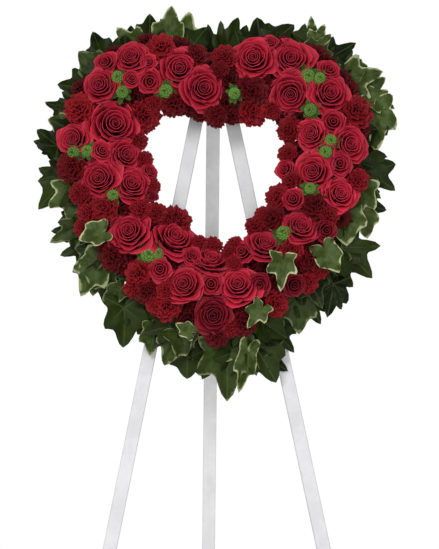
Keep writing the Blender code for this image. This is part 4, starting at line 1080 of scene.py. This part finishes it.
def makeIvy():
    names = sorted(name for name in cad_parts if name.startswith("ivy_spray"))
    ownerOf = nodeFinder(names)
    groups = {name: [] for name in names}
    for entry in allLeaves():
        angle = math.radians(entry[3])
        middle = Vector(entry[:2]) + Vector((math.cos(angle), math.sin(angle))) * entry[2] * 0.3
        groups[ownerOf(wreathPoint(middle.x * mm, middle.y * mm, 0.02))].append(entry)
    inner = {name: [] for name in names}
    for index in range(0, len(heart), ivySizes["innerStep"]):
        at = heart[index] + heartOut[index] * ivySizes["innerOut"]
        inner[ownerOf(wreathPoint(at.x, at.y, 0.02))].append(index)
    for order, name in enumerate(names):
        draw = random.Random(40 + order)
        bm = startMesh()
        routes = []
        for entry in groups[name]:
            routes += addLeafPair(bm, entry, draw)
        for index in inner[name]:
            routes.append(addInnerLeaf(bm, index, draw))
        vine = vineOf([Vector(entry[:2]) * mm for entry in groups[name]])
        piece = finishPiece(name + "_leaves", bm)
        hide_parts(name)
        wireOf(name + "_stalks", routes, ivySizes["stalkRadius"])
        wireOf(name + "_vine", [vine], ivySizes["vineRadius"])
    print("ivy made, leaves by spray:", [len(group) for group in groups.values()])


makeIvy()


# The form: a moulded tray with its soaked foam

formSizes = {"stations": 150, "foamHalf": 0.034, "foamFront": 0.040, "foamEdge": 0.006, "edgeSteps": 4,
             "trayDepth": 0.005, "trayRim": 0.012, "trayWall": 0.002, "trayBevel": 0.001, "gap": 0.0003}


def sweepRing(name, section, node, material):
    bm = bmesh.new()
    count = formSizes["stations"]
    across = len(section)
    bmesh.ops.create_grid(bm, x_segments=count, y_segments=across, size=1.0)
    line = heartLine(20)
    step = len(line) / count
    for vert in bm.verts:
        station = round((vert.co.x + 1) / 2 * count) % count
        corner = round((vert.co.y + 1) / 2 * across) % across
        index = round(station * step) % len(line)
        out, depth = section[corner]
        at = line[index] + outwardAt(line, index) * out
        vert.co = wreathPoint(at.x, at.y, depth)
    bmesh.ops.remove_doubles(bm, verts=bm.verts, dist=1e-6)
    bmesh.ops.recalc_face_normals(bm, faces=bm.faces)
    mesh = meshOf(name, bm)
    mesh.materials.append(material)
    mesh.shade_smooth()
    mesh.set_sharp_from_angle(angle=math.radians(35))
    piece = hangPiece(name, mesh)
    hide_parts(node)


def makeForm():
    # both sections run round once, as places outwards from the heart's line and forwards
    half, edge, front = formSizes["foamHalf"], formSizes["foamEdge"], formSizes["foamFront"]
    deep, gap, steps = formSizes["trayDepth"], formSizes["gap"], formSizes["edgeSteps"]
    quarters = [k * math.pi / (2 * steps) for k in range(steps + 1)]
    corner = [(math.sin(turn), 1 - math.cos(turn)) for turn in quarters]
    foam = [(-half, deep + gap), (half, deep + gap)]
    foam += [(half - edge * drop, front - edge + edge * along) for along, drop in corner]
    foam += [(edge * drop - half, front - edge + edge * along) for along, drop in reversed(corner)]
    sweepRing("foam_block", foam, "form_foam", wetFoam)
    outside = half + formSizes["trayWall"] + gap
    inside = outside - formSizes["trayWall"]
    rim, bevel = formSizes["trayRim"], formSizes["trayBevel"]
    tray = [(-outside + bevel, gap), (outside - bevel, gap), (outside, gap + bevel), (outside, rim),
            (inside, rim), (inside, deep), (-inside, deep), (-inside, rim), (-outside, rim),
            (-outside, gap + bevel)]
    sweepRing("moulded_tray", tray, "form_tray", trayPlastic)
    print("form made")


makeForm()


# The easel keeps its CAD solids and takes its finishes

easelFinishes = {"leg_left": paintLeft, "leg_right": paintRight, "leg_rear": paintRearLightened,
                 "head_block": paintRearLightened, "hinge_leaf_fixed": platedSteel,
                 "hinge_leaf_moving": platedSteel, "hinge_pin": platedSteel, "form_hanger": platedSteel}
for name, material in easelFinishes.items():
    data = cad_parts[name].data
    data.materials.clear()
    data.materials.append(material)
print("easel dressed")


# Studio: a pale floor, a soft key from the upper left, a fill, and a camera at the photograph's height

studio = {"floorRadius": 2.8, "floorGap": 0.0005, "sky": 0.38, "sensor": 36.0}
# place, aim, size and energy
softboxes = {"key": ((-1.5, -3.0, 2.7), (0, -0.15, 0.90), 1.5, 66.0),
             "fill": ((2.4, -2.6, 1.3), (0, -0.15, 0.90), 1.8, 14.0),
             "front": ((0.2, -4.3, 0.9), (0, 0, 0.90), 1.6, 42.0),
             "back": ((0.6, 2.2, 2.3), (0, -0.10, 0.90), 1.5, 24.0)}


def makeFloor():
    bm = bmesh.new()
    bmesh.ops.create_circle(bm, cap_ends=True, segments=96, radius=studio["floorRadius"])
    bmesh.ops.translate(bm, vec=(0, 0, -studio["floorGap"]), verts=bm.verts)
    mesh = meshOf("studio_floor", bm)
    material, tree, shader = newMaterial("paleFloor", {"Roughness": 0.7, "Specular IOR Level": 0.2})
    cloud = mottle(tree, objectPlace(tree), 1.5, (0.86, 0.86, 0.86, 1), (0.90, 0.90, 0.90, 1))
    tree.links.new(cloud["Colour"], shader.inputs["Base Color"])
    mesh.materials.append(material)
    floor = putInScene("studio_floor", mesh)
    floor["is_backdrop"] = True


def addSoftbox(name, place, aim, size, energy):
    lamp = bpy.data.lights.new(name, "AREA")
    lamp.size = size
    lamp.energy = energy
    box = putInScene(name, lamp)
    box.location = place
    box.rotation_euler = (Vector(aim) - Vector(place)).to_track_quat("-Z", "Y").to_euler()


def makeWorld():
    world = bpy.data.worlds.new("studio")
    world.use_nodes = True
    tree = world.node_tree
    background = tree.nodes["Background"]
    background.inputs["Color"].default_value = (1, 1, 1, 1)
    seen = addNode(tree, "ShaderNodeLightPath").outputs["Is Camera Ray"]
    strength = addNode(tree, "ShaderNodeMapRange", {"Value": seen, "To Min": studio["sky"],
                                                    "To Max": 1.0})
    tree.links.new(strength.outputs[0], background.inputs["Strength"])
    bpy.context.scene.world = world


def makeCamera():
    lens = bpy.data.cameras.new("camera")
    lens.sensor_width = studio["sensor"]
    lens.lens = studio["sensor"] * photo["cameraBack"] / photo["seenHeight"]
    camera = putInScene("camera", lens)
    camera.location = cameraAim + cameraAway
    camera.rotation_euler = (-cameraAway).to_track_quat("-Z", "Y").to_euler()
    bpy.context.scene.camera = camera


makeFloor()
makeWorld()
for name, (place, aim, size, energy) in softboxes.items():
    addSoftbox(name, place, aim, size, energy)
makeCamera()
bpy.context.scene.view_settings.view_transform = "Standard"

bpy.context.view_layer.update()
triangles = sum(len(face.vertices) - 2 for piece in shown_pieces() if piece.type == "MESH"
                for face in piece.data.polygons)
print("studio ready, triangles:", triangles)
